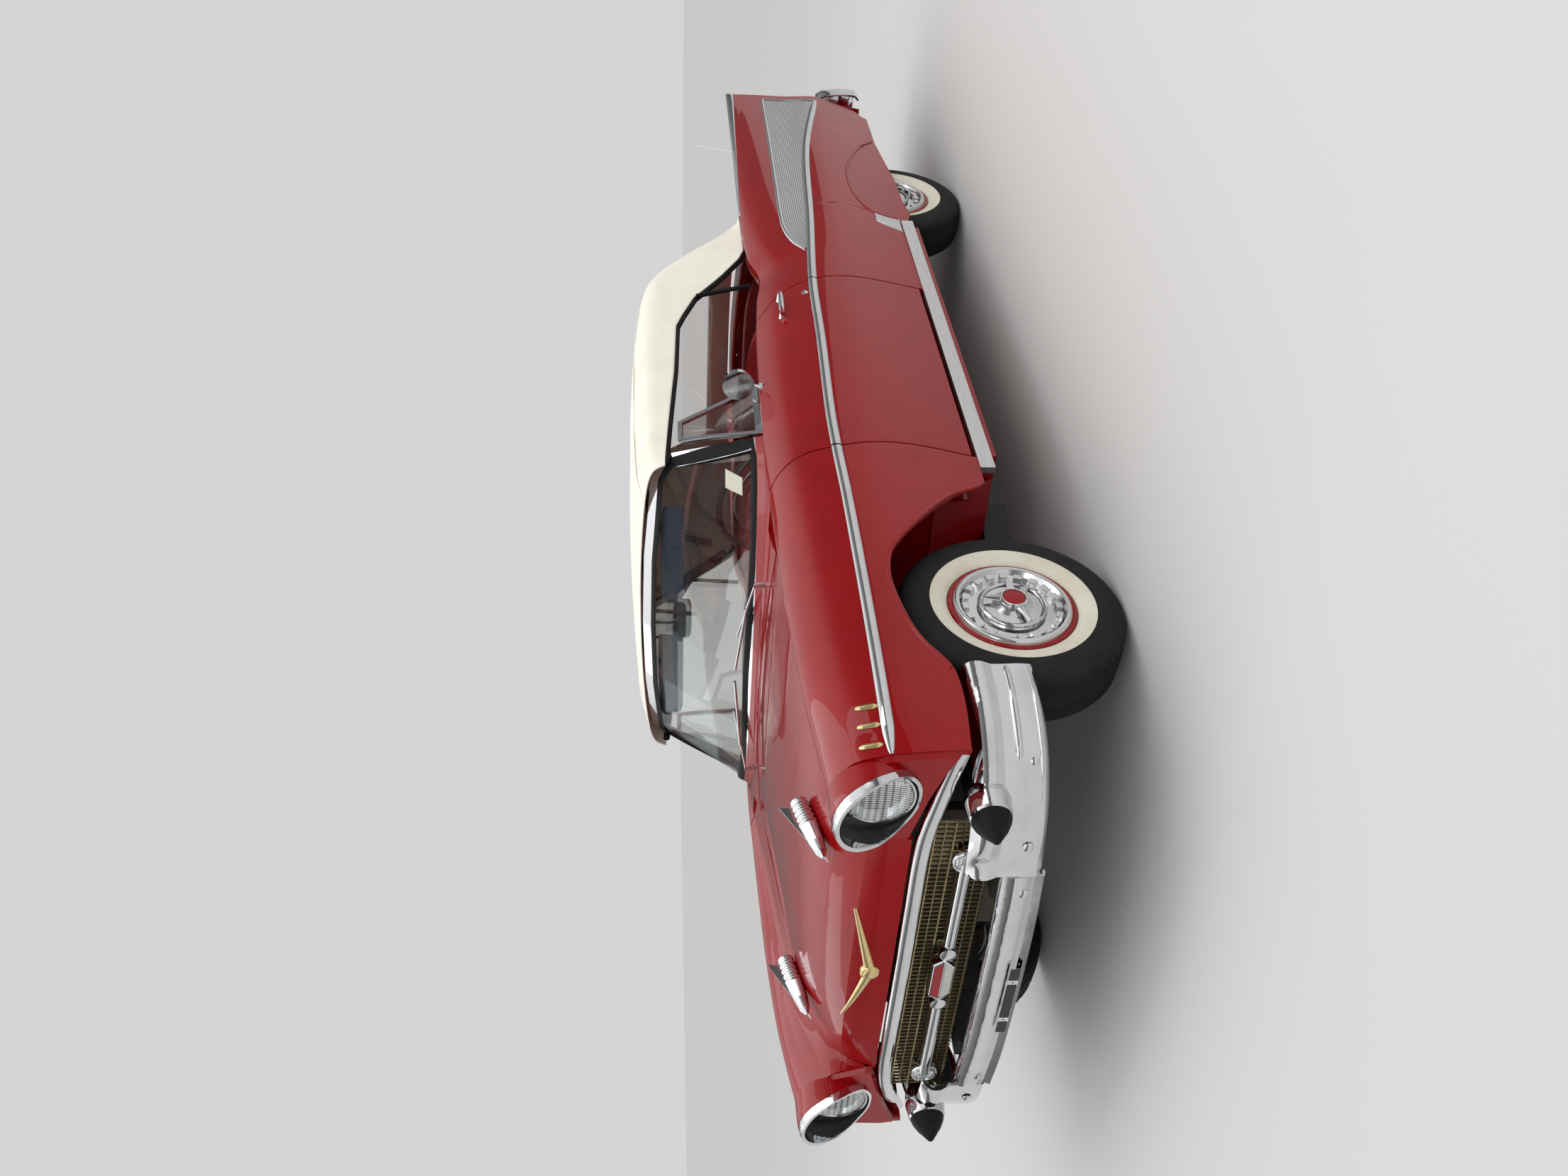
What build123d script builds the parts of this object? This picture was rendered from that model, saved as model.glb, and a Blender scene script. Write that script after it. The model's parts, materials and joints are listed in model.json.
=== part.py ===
# 1950s two-door convertible, full size, soft top up.
# X points to the car's left, Y to its tail and Z up; the origin is on the ground under its middle.
from build123d import *
from math import atan2, cos, hypot, pi, radians, sin
import os

os.makedirs("parts", exist_ok=True)

# Driving dimensions, in mm. A station s is a distance behind the front axle.
overall_length = 5080
front_overhang = 810
wheelbase = 2921
front_track = 1473
rear_track = 1494
tyre_radius = 338
tyre_width = 194
rim_radius = 191
kingpin_x = 660
fit_gap = 0.3
panel_gap = 7
door_gap = 7
skin_wall = 14
door_wall = 62
top_wall = 9

front_axle_y = front_overhang - overall_length / 2
rear_axle_s = wheelbase

# Stations and heights that several pieces share.
nose_s = -640
hood_rear_s = 505
deck_front_s = 3017
tail_s = 4060
fin_start_s = 2260
door_bottom_z = 350
sill_z = 335
frame_top_z = 260
floor_wall = 8
cabin_rear_s = 2745
trunk_floor_z = 505
trunk_rear_s = 3985
cowl_half = 821
pillar_foot_s = 985


def y_at(s):
    """The Y of a station."""
    return front_axle_y + s


def spot(x, s, z):
    """A point given by X, station and Z."""
    return Vector(x, y_at(s), z)


def smooth(rows, s, column):
    """One column of a table at station s: a cubic through the rows, straight past the ends."""
    stations = [row[0] for row in rows]
    values = [row[column] for row in rows]
    last = len(rows) - 1

    def slope(i):
        before, after = max(i - 1, 0), min(i + 1, last)
        return (values[after] - values[before]) / (stations[after] - stations[before])

    if s <= stations[0]:
        return values[0] + slope(0) * (s - stations[0])
    if s >= stations[last]:
        return values[last] + slope(last) * (s - stations[last])
    i = max(k for k in range(last) if stations[k] <= s)
    step = stations[i + 1] - stations[i]
    t = (s - stations[i]) / step
    rise = (2 * t**3 - 3 * t**2 + 1) * values[i] + (3 * t**2 - 2 * t**3) * values[i + 1]
    bend = (t**3 - 2 * t**2 + t) * slope(i) + (t**3 - t**2) * slope(i + 1)
    return rise + bend * step


def on_curve(keys, i, t):
    """The point at share t of span i of a smooth curve through the key points, and its direction."""
    last = len(keys) - 1

    def way(k):
        before, here, after = keys[max(k - 1, 0)], keys[k], keys[min(k + 1, last)]
        span = hypot(after[0] - here[0], after[1] - here[1]) + hypot(here[0] - before[0], here[1] - before[1])
        return (after[0] - before[0]) / span, (after[1] - before[1]) / span

    a, b = keys[i], keys[i + 1]
    length = hypot(b[0] - a[0], b[1] - a[1])
    way_a, way_b = way(i), way(i + 1)
    point, slope = [], []
    for k in (0, 1):
        rise = (2 * t**3 - 3 * t**2 + 1) * a[k] + (3 * t**2 - 2 * t**3) * b[k]
        bend = (t**3 - 2 * t**2 + t) * way_a[k] + (t**3 - t**2) * way_b[k]
        point.append(rise + bend * length)
        rate = (6 * t**2 - 6 * t) * (a[k] - b[k]) / length
        slope.append(rate + (3 * t**2 - 4 * t + 1) * way_a[k] + (3 * t**2 - 2 * t) * way_b[k])
    size = hypot(*slope)
    return tuple(point), (slope[0] / size, slope[1] / size)


def arcs_through(points):
    """Arcs through a list of points, each over three of them in turn, or a line where they are in line."""
    for i in range(0, len(points) - 1, 2):
        a, b, c = points[i], points[i + 1], points[i + 2]
        bow = (b[0] - a[0]) * (c[1] - a[1]) - (b[1] - a[1]) * (c[0] - a[0])
        if abs(bow) < 0.01 * hypot(c[0] - a[0], c[1] - a[1]):
            Line(a, c)
        else:
            ThreePointArc(a, b, c)


def shell_section(plane, keys, wall, inside=()):
    """A closed section: arcs along the key points, back along straight lines a wall to their left,
    or through the inside points where those are given."""
    outer, inner = [], []
    for i in range(len(keys) - 1):
        for t in (0, 0.5, 1)[: 3 if i == len(keys) - 2 else 2]:
            outer.append(on_curve(keys, i, t)[0])
    for i in range(len(keys)):
        point, way = on_curve(keys, i, 0) if i < len(keys) - 1 else on_curve(keys, i - 1, 1)
        inner.append((point[0] - wall * way[1], point[1] + wall * way[0]))
    with BuildSketch(plane) as section:
        with BuildLine():
            arcs_through(outer)
            Polyline(outer[-1], *(inside or inner[::-1]), outer[0])
        make_face()
    return section.sketch


def across(s):
    """The upright plane at a station: its first direction is X and its second Z."""
    return Plane.XZ.offset(-y_at(s))


def strip(points, wall):
    """The closed outline of a strip of one wall thickness, to the left of a line through points."""
    ways = []
    for a, b in zip(points, points[1:]):
        length = hypot(b[0] - a[0], b[1] - a[1])
        ways.append(((b[0] - a[0]) / length, (b[1] - a[1]) / length))
    other = []
    for i, point in enumerate(points):
        before, after = ways[max(i - 1, 0)], ways[min(i, len(ways) - 1)]
        share = wall / (1 + before[0] * after[0] + before[1] * after[1])
        other.append((point[0] - share * (before[1] + after[1]), point[1] + share * (before[0] + after[0])))
    return list(points) + other[::-1]


def side_prism(outline, start_x, end_x):
    """A bar across the car whose side view is an outline of (station, Z) points."""
    with BuildPart() as prism:
        with BuildSketch(Plane.YZ.offset(start_x)):
            with BuildLine():
                Polyline(*[(y_at(s), z) for s, z in outline], close=True)
            make_face()
        extrude(amount=end_x - start_x)
    return prism.part


def plan_prism(outline, start_z, end_z):
    """An upright bar whose plan is an outline of (X, station) points."""
    with BuildPart() as prism:
        with BuildSketch(Plane.XY.offset(start_z)):
            with BuildLine():
                Polyline(*[(x, y_at(s)) for x, s in outline], close=True)
            make_face()
        extrude(amount=end_z - start_z)
    return prism.part


def front_prism(outline, start_s, end_s):
    """A bar along the car whose front view is an outline of (X, Z) points."""
    with BuildPart() as prism:
        with BuildSketch(across(start_s)):
            with BuildLine():
                Polyline(*outline, close=True)
            make_face()
        extrude(amount=start_s - end_s)
    return prism.part


def block(low, high):
    """A box between two corners given as (X, station, Z)."""
    with BuildPart() as box:
        with BuildSketch(Plane.XY.offset(low[2])):
            with Locations(((low[0] + high[0]) / 2, y_at((low[1] + high[1]) / 2))):
                Rectangle(high[0] - low[0], high[1] - low[1])
        extrude(amount=high[2] - low[2])
    return box.part


def rod(start, end, radius, end_radius=None):
    """A round bar, or a cone, between two (X, station, Z) points."""
    with BuildPart() as bar:
        with Locations(Plane(origin=spot(*start), z_dir=spot(*end) - spot(*start))):
            length = (spot(*end) - spot(*start)).length
            base = (Align.CENTER, Align.CENTER, Align.MIN)
            if end_radius is None:
                Cylinder(radius, length, align=base)
            else:
                Cone(radius, end_radius, length, align=base)
    return bar.part


def pipe(route, radius, bend):
    """A round bar along a line of (X, station, Z) points with rounded corners."""
    with BuildPart() as bar:
        with BuildLine() as path:
            FilletPolyline(*[spot(*point) for point in route], radius=bend)
        with BuildSketch(Plane(origin=path.wire() @ 0, z_dir=path.wire() % 0)):
            Circle(radius)
        sweep()
    return bar.part


# Left side of the body. Columns: station, then X and Z of the sill edge, the widest line, the side
# spear's line, the shoulder, the crown, the valley inside it and the seam with hood, cabin or deck.
body_side = [
    (-640, 868, 335, 872, 640, 858, 790, 826, 884, 722, 935, 582, 824, 548, 722),
    (-520, 880, 335, 893, 640, 885, 790, 853, 895, 742, 953, 622, 868, 556, 826),
    (-330, 886, 335, 912, 640, 906, 790, 874, 908, 768, 976, 664, 918, 566, 890),
    (-60, 890, 335, 925, 640, 919, 790, 886, 922, 784, 995, 688, 950, 582, 935),
    (240, 893, 335, 931, 640, 925, 790, 893, 932, 797, 1006, 712, 976, 604, 964),
    (520, 895, 335, 935, 640, 929, 790, 898, 938, 810, 1013, 735, 998, 630, 990),
    (690, 896, 335, 937, 630, 930, 790, 900, 940, 818, 1017, 760, 1010, 700, 1006),
    (1060, 896, 335, 938, 620, 930, 785, 900, 934, 838, 1014, 814, 1017, 790, 1017),
    (1500, 896, 335, 938, 620, 929, 780, 896, 924, 836, 1004, 812, 1007, 788, 1007),
    (1872, 896, 335, 937, 620, 926, 772, 891, 908, 834, 984, 810, 987, 786, 987),
    (2085, 895, 335, 936, 620, 923, 765, 888, 892, 832, 964, 808, 966, 784, 964),
    (2260, 894, 335, 935, 620, 920, 760, 893, 930, 838, 1003, 810, 1004, 780, 1000),
    (2700, 892, 335, 932, 615, 914, 760, 896, 955, 858, 1022, 800, 1008, 705, 1004),
    (3200, 888, 335, 926, 605, 907, 760, 894, 962, 868, 1026, 792, 968, 640, 972),
    (3700, 880, 335, 914, 590, 899, 760, 890, 966, 876, 1029, 796, 930, 628, 925),
    (4060, 868, 335, 902, 575, 892, 760, 887, 968, 880, 1031, 800, 900, 620, 885),
]


def side_keys(s):
    """The key points (X, Z) of the body side at a station, from the sill up and inwards."""
    row = [smooth(body_side, s, column) for column in range(1, 15)]
    return list(zip(row[0::2], row[1::2]))


crown_key = 4


def side_inside(keys, wall):
    """The inner corners of a body side section, from the seam back down to the sill."""
    inside = []
    for i in range(len(keys)):
        point, way = on_curve(keys, i, 0) if i < len(keys) - 1 else on_curve(keys, i - 1, 1)
        inside.append((point[0] - wall * way[1], point[1] + wall * way[0]))
    crown, below, within = keys[crown_key], keys[crown_key - 1], keys[crown_key + 1]
    inside[crown_key] = tuple(0.4 * crown[k] + 0.3 * (below[k] + within[k]) for k in (0, 1))
    return inside[::-1]


def even(first, last, count):
    """Evenly spaced stations from first to last."""
    return [first + (last - first) * i / (count - 1) for i in range(count)]


def side_shell(stations, wall, hang=0):
    """The body side as a lofted shell through the stations, or its lower part reaching down by hang."""
    sections = []
    for s in stations:
        keys = side_keys(s)
        if hang:
            keys = [(keys[0][0] - hang / 12, keys[0][1] - hang)] + keys[:crown_key]
            sections.append(shell_section(across(s), keys, wall))
        else:
            sections.append(shell_section(across(s), keys, wall, side_inside(keys, wall)))
    with BuildPart() as shell:
        loft(sections)
    return shell.part


# Seams seen from the side, as (station, Z) from the bottom up.
door_front = [
    (674, 200), (674, 356), (692, 500), (695, 642), (683, 785), (663, 879), (625, 973),
    (587, 1030), (570, 1100),
]
door_rear = [
    (1861, 200), (1861, 354), (1873, 484), (1881, 637), (1877, 764), (1844, 846), (1784, 919),
    (1709, 987), (1660, 1100),
]
tail_edge = [
    (3700, 200), (3774, 347), (3866, 395), (3941, 507), (3993, 573), (4004, 662), (4035, 840),
    (4050, 1000), (4054, 1100),
]
arch_line = [
    (-378, 582), (-235, 665), (-70, 704), (40, 708), (140, 682), (320, 556), (425, 462),
    (532, sill_z),
]
skirt_top = [
    (2518, 330), (2557, 447), (2657, 499), (2804, 526), (2981, 522), (3144, 490), (3341, 417),
    (3439, 340),
]
skirt_bottom = [(3439, 336), (3249, 321), (2971, 298), (2741, 294), (2606, 279), (2518, 300)]
far = 6000


def shifted(line, distance):
    """A line of (station, Z) points moved along the car."""
    return [(s + distance, z) for s, z in line]


def curve_bar(line, closing, start_x, end_x):
    """A bar across the car bounded by arcs along a line of (station, Z) points and by closing corners."""
    points = []
    for i in range(len(line) - 1):
        points.append(line[i])
        points.append(on_curve(line, i, 0.5)[0])
    points.append(line[-1])
    flat = [(y_at(s), z) for s, z in points]
    with BuildPart() as bar:
        with BuildSketch(Plane.YZ.offset(start_x)):
            with BuildLine():
                arcs_through(flat)
                Polyline(flat[-1], *[(y_at(s), z) for s, z in closing], flat[0])
            make_face()
        extrude(amount=end_x - start_x)
    return bar.part


# Front fenders: the shell over the wheel, up to the door, and the nose face round the lamp.
bezel_x, bezel_z, bezel_radius = 720, 815, 124
lamp_x, lamp_z = 717, 803
nose_depth = 14
nose_face = side_keys(nose_s)[1:] + [(548, 702), (700, 664), (800, 629), (866, 598)]
nose_step = [(bezel_x + 0.93 * (x - bezel_x), bezel_z + 0.93 * (z - bezel_z)) for x, z in nose_face]


def nose_part(back, front):
    """A plate that narrows forwards from an outline at the nose to a smaller one ahead of it."""
    with BuildPart() as plate:
        for outline, s in ((back, nose_s + 2), (front, nose_s - nose_depth)):
            with BuildSketch(across(s)):
                with BuildLine():
                    Polyline(*outline, close=True)
                make_face()
        loft(ruled=True)
    return plate.part


behind_door_front = side_prism(shifted(door_front, -door_gap) + [(far, 1100), (far, 200)], 500, 1000)
wheel_opening = curve_bar(arch_line, [(560, 200), (-900, 200), (-900, 582)], 780, 1000)
with BuildPart() as front_fender_left:
    add(side_shell(even(nose_s, 720, 7), skin_wall))
    add(behind_door_front, mode=Mode.SUBTRACT)
    add(wheel_opening, mode=Mode.SUBTRACT)
    add(nose_part(nose_face, nose_step))
    lamp_hole = rod((bezel_x, nose_s - 60, bezel_z), (bezel_x, nose_s + 60, bezel_z), bezel_radius + fit_gap)
    add(lamp_hole, mode=Mode.SUBTRACT)
with BuildPart() as front_fender_right:
    add(mirror(front_fender_left.part, about=Plane.YZ), clean=False)

# Doors: one thick wall each, with the belt's roll at the top, a pull handle and its lock.
handle_x, handle_s, handle_z = 924, 1592, 910
handle_length = 180
door_blank_sections = []
for s in even(560, 1900, 7):
    keys = side_keys(s)[:6]
    belt = keys[-1]
    inside = [(belt[0] - 24, belt[1] - 4), (belt[0] - 30, belt[1] - 60)]
    inside = inside + [(938 - door_wall, 640), (938 - door_wall, sill_z)]
    door_blank_sections.append(shell_section(across(s), keys, 0, inside))
door_outline = [p for p in door_front if p[1] > 300] + [p for p in door_rear[::-1] if p[1] > 300]
with BuildPart() as pull_handle:
    add(rod((handle_x, handle_s, handle_z + 2), (handle_x, handle_s + handle_length, handle_z - 2), 8, 6))
    for s in (handle_s + 18, handle_s + handle_length - 18):
        add(rod((handle_x - 45, s, handle_z), (handle_x, s, handle_z), 9, 7))
lock_s, lock_z = handle_s + handle_length, 812
with BuildPart() as door_left:
    loft(door_blank_sections)
    add(side_prism(door_outline, 700, 1000), mode=Mode.INTERSECT)
    add(block((700, 500, 200), (1000, 2000, door_bottom_z)), mode=Mode.SUBTRACT)
    add(block((700, 500, 300), (cowl_half + door_gap, pillar_foot_s, 1100)), mode=Mode.SUBTRACT)
    for rebate_x, depth in ((900, 4), (860, 11)):
        rebate = shifted(door_rear, -depth) + [(far, 1100), (far, 200)]
        add(side_prism(rebate, 700, rebate_x), mode=Mode.SUBTRACT)
    add(pull_handle.part)
    add(rod((handle_x - 25, lock_s, lock_z), (handle_x + 2, lock_s, lock_z), 11))
with BuildPart() as door_right:
    add(mirror(door_left.part, about=Plane.YZ), clean=False)

# Quarter panels with the fins, from the door to the tail, and the skirt over each rear wheel.
ahead_of_door_rear = side_prism(shifted(door_rear, door_gap) + [(0, 1100), (0, 200)], 500, 1000)
behind_tail = side_prism(tail_edge + [(far, 1100), (far, 200)], 500, 1000)
skirt_outline = skirt_top + skirt_bottom
with BuildPart() as quarter_left:
    add(side_shell(even(1660, fin_start_s, 6), skin_wall))
    add(side_shell(even(fin_start_s, tail_s, 6), skin_wall))
    add(ahead_of_door_rear, mode=Mode.SUBTRACT)
    add(behind_tail, mode=Mode.SUBTRACT)
    add(side_prism(skirt_outline, 800, 1000), mode=Mode.SUBTRACT)
with BuildPart() as quarter_right:
    add(mirror(quarter_left.part, about=Plane.YZ), clean=False)
with BuildPart() as fender_skirts:
    add(side_shell(even(2480, 3480, 4), skin_wall, hang=70))
    with BuildSketch(Plane.YZ.offset(700)):
        with BuildLine():
            Polyline(*[(y_at(s), z) for s, z in skirt_outline], close=True)
        make_face()
        offset(amount=-fit_gap)
    extrude(amount=400, mode=Mode.INTERSECT)
    mirror(about=Plane.YZ)

# Hood: profiles fore and aft at distances from the middle. Columns: X, then station and Z eight times.
hood_profiles = [
    (0, -684, 706, -668, 764, -652, 822, -560, 900, -400, 950, -200, 977, 200, 1006, 505, 1023),
    (370, -666, 702, -648, 760, -630, 814, -540, 886, -370, 938, -150, 962, 220, 992, 505, 1010),
    (640, -632, 694, -596, 746, -556, 786, -455, 836, -310, 874, -50, 920, 240, 956, 505, 989),
]


def profile_loft(profiles, wall, plane_of):
    """A sheet lofted across the car through fore-and-aft profiles and their mirror images."""
    rows = [(-row[0],) + tuple(row[1:]) for row in profiles[:0:-1]] + list(profiles)
    sections = []
    for row in rows:
        keys = [(y_at(s), z) for s, z in zip(row[1::2], row[2::2])]
        sections.append(shell_section(plane_of(row[0]), keys, -wall))
    with BuildPart() as sheet:
        loft(sections)
    return sheet.part


def seam_plan(stations, inset):
    """The plan outline between the left and right seams of the body sides, moved inwards by inset."""
    left = [(smooth(body_side, s, 13) - inset, s) for s in stations]
    return left + [(-x, s) for x, s in left[::-1]]


hood_plan = seam_plan([-760, -640, -520, -330, -60, 240, hood_rear_s], panel_gap)
with BuildPart() as hood:
    add(profile_loft(hood_profiles, skin_wall, lambda x: Plane.YZ.offset(x)))
    add(plan_prism(hood_plan, 400, 1200), mode=Mode.INTERSECT)


def lathe(start, end, profile):
    """A body of revolution about the line from start towards end, from (distance, radius) points."""
    origin, way = spot(*start), (spot(*end) - spot(*start)).normalized()
    with BuildPart() as body:
        with BuildSketch(Plane(origin=origin, x_dir=way, z_dir=way.cross(Vector(0, 0, 1)))):
            with BuildLine():
                Polyline(*profile, close=True)
            make_face()
        revolve(axis=Axis(origin, way))
    return body.part


# Rockets on the hood, each a ribbed round body under a swept fin, and the wing bars at the nose.
rocket_x = 373
rocket_front, rocket_rear = (-562, 915), (-352, 970)
rocket_profile = [
    (0, 0), (0, 5), (24, 17), (60, 23), (120, 27), (130, 29), (140, 27), (150, 29), (160, 27), (170, 29),
    (180, 27), (190, 29), (200, 27), (216, 22), (216, 0),
]
rocket_fin = [(-575, 905), (-520, 945), (-387, 1034), (-372, 1028), (-380, 970), (-440, 945)]
with BuildPart() as hood_ornaments:
    add(lathe((rocket_x, *rocket_front), (rocket_x, *rocket_rear), rocket_profile))
    add(side_prism(rocket_fin, rocket_x - 4, rocket_x + 4))
    mirror(about=Plane.YZ)
    for side in (1, -1):
        add(rod((side * 8, -684, 768), (side * 247, -647, 826), 9, 5))
    add(rod((0, -676, 764), (0, -697, 764), 24))
    add(hood.part.moved(Location((0, -fit_gap, fit_gap))), mode=Mode.SUBTRACT)

# Cowl: the panel behind the hood, the firewall under it and the corners that carry the screen.
cowl_rows = [
    (512, 0, 1024, 200, 1021, 400, 1010, 600, 994, 700, 985, 830, 975),
    (620, 0, 1036, 200, 1034, 400, 1027, 600, 1014, 730, 1010, 830, 1007),
    (760, 0, 1040, 200, 1038, 400, 1033, 600, 1020, 735, 1014, 830, 1012),
    (960, 0, 1040, 200, 1038, 400, 1033, 600, 1021, 735, 1014, 830, 1010),
]


def cowl_height(x, s):
    """The height of the cowl's skin."""
    column = max(k for k in (1, 3, 5, 7, 9) if cowl_rows[0][k] <= x)
    near, beyond = cowl_rows[0][column], cowl_rows[0][column + 2]
    share = (x - near) / (beyond - near)
    return (1 - share) * smooth(cowl_rows, s, column + 1) + share * smooth(cowl_rows, s, column + 3)


cowl_sections = []
for row in cowl_rows:
    half = list(zip(row[1::2], row[2::2]))
    keys = half[::-1] + [(-x, z) for x, z in half[1:]]
    cowl_sections.append(shell_section(across(row[0]), keys, skin_wall))
firewall_s = 545
firewall_wall = 8
firewall_half = 625
kick_x = 800
door_inner_x = 938 - door_wall
hinge_rows = [(470, door_inner_x), (800, cowl_half + door_gap)]
screen_base = [(0, 632), (282, 645), (517, 697), (658, 782), (738, 887), (758, 967)]
cowl_front_s = hood_rear_s + panel_gap
cowl_plan = [(cowl_half, 960), (cowl_half, 612), (640, 612), (621, cowl_front_s)]
cowl_plan = cowl_plan + [(-x, s) for x, s in cowl_plan[::-1]]


def behind_screen(setback):
    """The plan of the space behind the screen's foot, set back by a distance."""
    left = [(x, s + setback) for x, s in screen_base] + [(750, 1100)]
    return left + [(-x, s) for x, s in left[:0:-1]]


with BuildPart() as cowl:
    loft(cowl_sections)
    add(plan_prism(cowl_plan, 900, 1200), mode=Mode.INTERSECT)
    add(plan_prism(behind_screen(0), 900, 1200), mode=Mode.SUBTRACT)
    add(block((-firewall_half, firewall_s, 485), (firewall_half, firewall_s + firewall_wall, 1002)))
    for side in (1, -1):
        kick = [(firewall_s + firewall_wall, 360), (700, 360), (940, 940), (940, 1000)]
        kick = kick + [(630, 1000), (630, 968)]
        add(side_prism(kick + [(firewall_s, 968), (firewall_s, 486)], side * kick_x, side * (kick_x + 6)))
        low, high = min(side * firewall_half, side * kick_x), max(side * firewall_half, side * kick_x)
        add(block((low, firewall_s, 486), (high, firewall_s + firewall_wall, 968)))
        barrel_z = cowl_height(465, cowl_front_s) - 8
        inner, outer = sorted((side * 430, side * 500))
        barrel_s = cowl_front_s - panel_gap / 2
        add(rod((inner, barrel_s, barrel_z), (outer, barrel_s, barrel_z), panel_gap / 2 - fit_gap))
        add(block((inner, cowl_front_s - 3, barrel_z - 2), (outer, cowl_front_s + 4, barrel_z + 2)))
        for z, door_face in hinge_rows:
            ends = (side * (kick_x + 3), side * (door_face - fit_gap))
            add(block((min(ends), 712, z), (max(ends), 734, z + 50)))

# Floor: the tunnelled cabin floor, the rear seat's step, the bulkhead and the trunk's floor.
# The shelf ahead of the deck lid is given as X and Z from the middle out.
shelf_rows = [(0, 1029), (300, 1019), (500, 1003), (720, 975)]
engine_axis_z = 320
shaft_radius = 34
floor_line = [(545, 480), (700, frame_top_z), (2150, frame_top_z), (2200, 420), (cabin_rear_s - 60, 430)]
floor_line = floor_line + [(cabin_rear_s, trunk_floor_z), (trunk_rear_s - fit_gap, trunk_floor_z)]
tunnel_radius = 190
cabin_half = 790
house_x = 590
with BuildPart() as floor_pan:
    add(side_prism(strip(floor_line, floor_wall), -cabin_half, cabin_half))
    add(rod((0, 530, frame_top_z), (0, 2200, frame_top_z), tunnel_radius), mode=Mode.SUBTRACT)
    add(rod((0, 540, frame_top_z), (0, 2200, frame_top_z), tunnel_radius))
    add(rod((0, 500, frame_top_z), (0, 2195, frame_top_z), tunnel_radius - floor_wall), mode=Mode.SUBTRACT)
    add(block((-300, 500, 0), (300, 2195, frame_top_z)), mode=Mode.SUBTRACT)
    for side in (1, -1):
        low, high = min(side * cabin_half, side * 880), max(side * cabin_half, side * 880)
        add(block((low, 700, frame_top_z), (high, 2480, sill_z - 5)))
        low, high = min(side * house_x, side * 870), max(side * house_x, side * 870)
        add(block((low, 2530, 430), (high, 3350, 760)))
        low, high = min(side * (house_x + 6), side * 905), max(side * (house_x + 6), side * 905)
        add(block((low, 2536, 200), (high, 3344, 754)), mode=Mode.SUBTRACT)
    add(rod((0, 2190, engine_axis_z), (0, 2210, engine_axis_z), shaft_radius + 26), mode=Mode.SUBTRACT)
    bulkhead = [(house_x, trunk_floor_z), (house_x, shelf_rows[3][1] - skin_wall)]
    bulkhead += [(x, z - skin_wall - 5) for x, z in shelf_rows[2::-1]]
    bulkhead += [(-x, z) for x, z in bulkhead[-2::-1]]
    add(front_prism(bulkhead, cabin_rear_s, cabin_rear_s + floor_wall))

# Inner fenders beside the engine.
inner_rows = [(-413, 500, 640, 740), (40, 500, 690, 810), (493, 500, 740, 850)]
inner_sections = []
for s in even(nose_s, 720, 7)[1:6] + [firewall_s - fit_gap]:
    inside = side_inside(side_keys(s), skin_wall)
    top = ((inside[0][0] + inside[1][0]) / 2, (inside[0][1] + inside[1][1]) / 2 - fit_gap)
    low, mid, bend = (smooth(inner_rows, s, column) for column in (1, 2, 3))
    with BuildSketch(across(s)) as inner_sketch:
        with BuildLine():
            Polyline(*strip([(435, low), (435, mid), (500, bend), top], -6), close=True)
        make_face()
    inner_sections.append(inner_sketch.sketch)
with BuildPart() as inner_fenders:
    loft(inner_sections, ruled=True)
    mirror(about=Plane.YZ)

# Chassis: two side rails that widen under the cabin and rise over the rear axle, and the members across.
rail_width = 70
rail_height = 90
rail_x = 345
rail_front_s = -690
rail_plan = [
    (rail_x, rail_front_s), (rail_x, 420), (560, 800), (560, 2200), (455, 2560),
    (455, trunk_rear_s - fit_gap),
]
axle_rail_z = 345
rear_rail_z = 380
rail_side = [
    (-740, 375), (-560, 375), (-400, axle_rail_z), (400, axle_rail_z), (620, frame_top_z - rail_height),
    (2230, frame_top_z - rail_height), (2560, 325), (2700, 335), (2921, 405), (3250, 400),
]
rail_side = rail_side + [(3500, rear_rail_z), (4070, rear_rail_z)]
cross_members = [
    (-665, 50, 350, 375, 425), (1250, 70, 600, 190, 250), (2280, 70, 530, 228, 278),
    (3590, 60, 480, 395, 455), (3950, 50, 480, 395, 455),
]
with BuildPart() as chassis_frame:
    add(plan_prism(strip(rail_plan, -rail_width), 100, 700))
    add(side_prism(strip(rail_side, rail_height), 300, 700), mode=Mode.INTERSECT)
    mirror(about=Plane.YZ)
    for s, length, half, low, high in cross_members:
        add(block((-half, s - length / 2, low), (half, s + length / 2, high)))

# Engine, gearbox and propeller shaft, plain outside.
with BuildPart() as engine_and_driveline:
    add(block((-270, -300, 300), (270, 420, 700)))
    add(block((-150, -240, 700), (150, 330, 840)))
    for side in (1, -1):
        add(rod((side * 200, 160, 385), (side * rail_x, 160, 385), 30))
    add(rod((0, 420, engine_axis_z), (0, 530, engine_axis_z), 170, 150))
    add(rod((0, 530, engine_axis_z), (0, 1080, engine_axis_z), 95))
    add(rod((0, 1080, engine_axis_z), (0, 2790, engine_axis_z + 14), shaft_radius))

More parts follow.
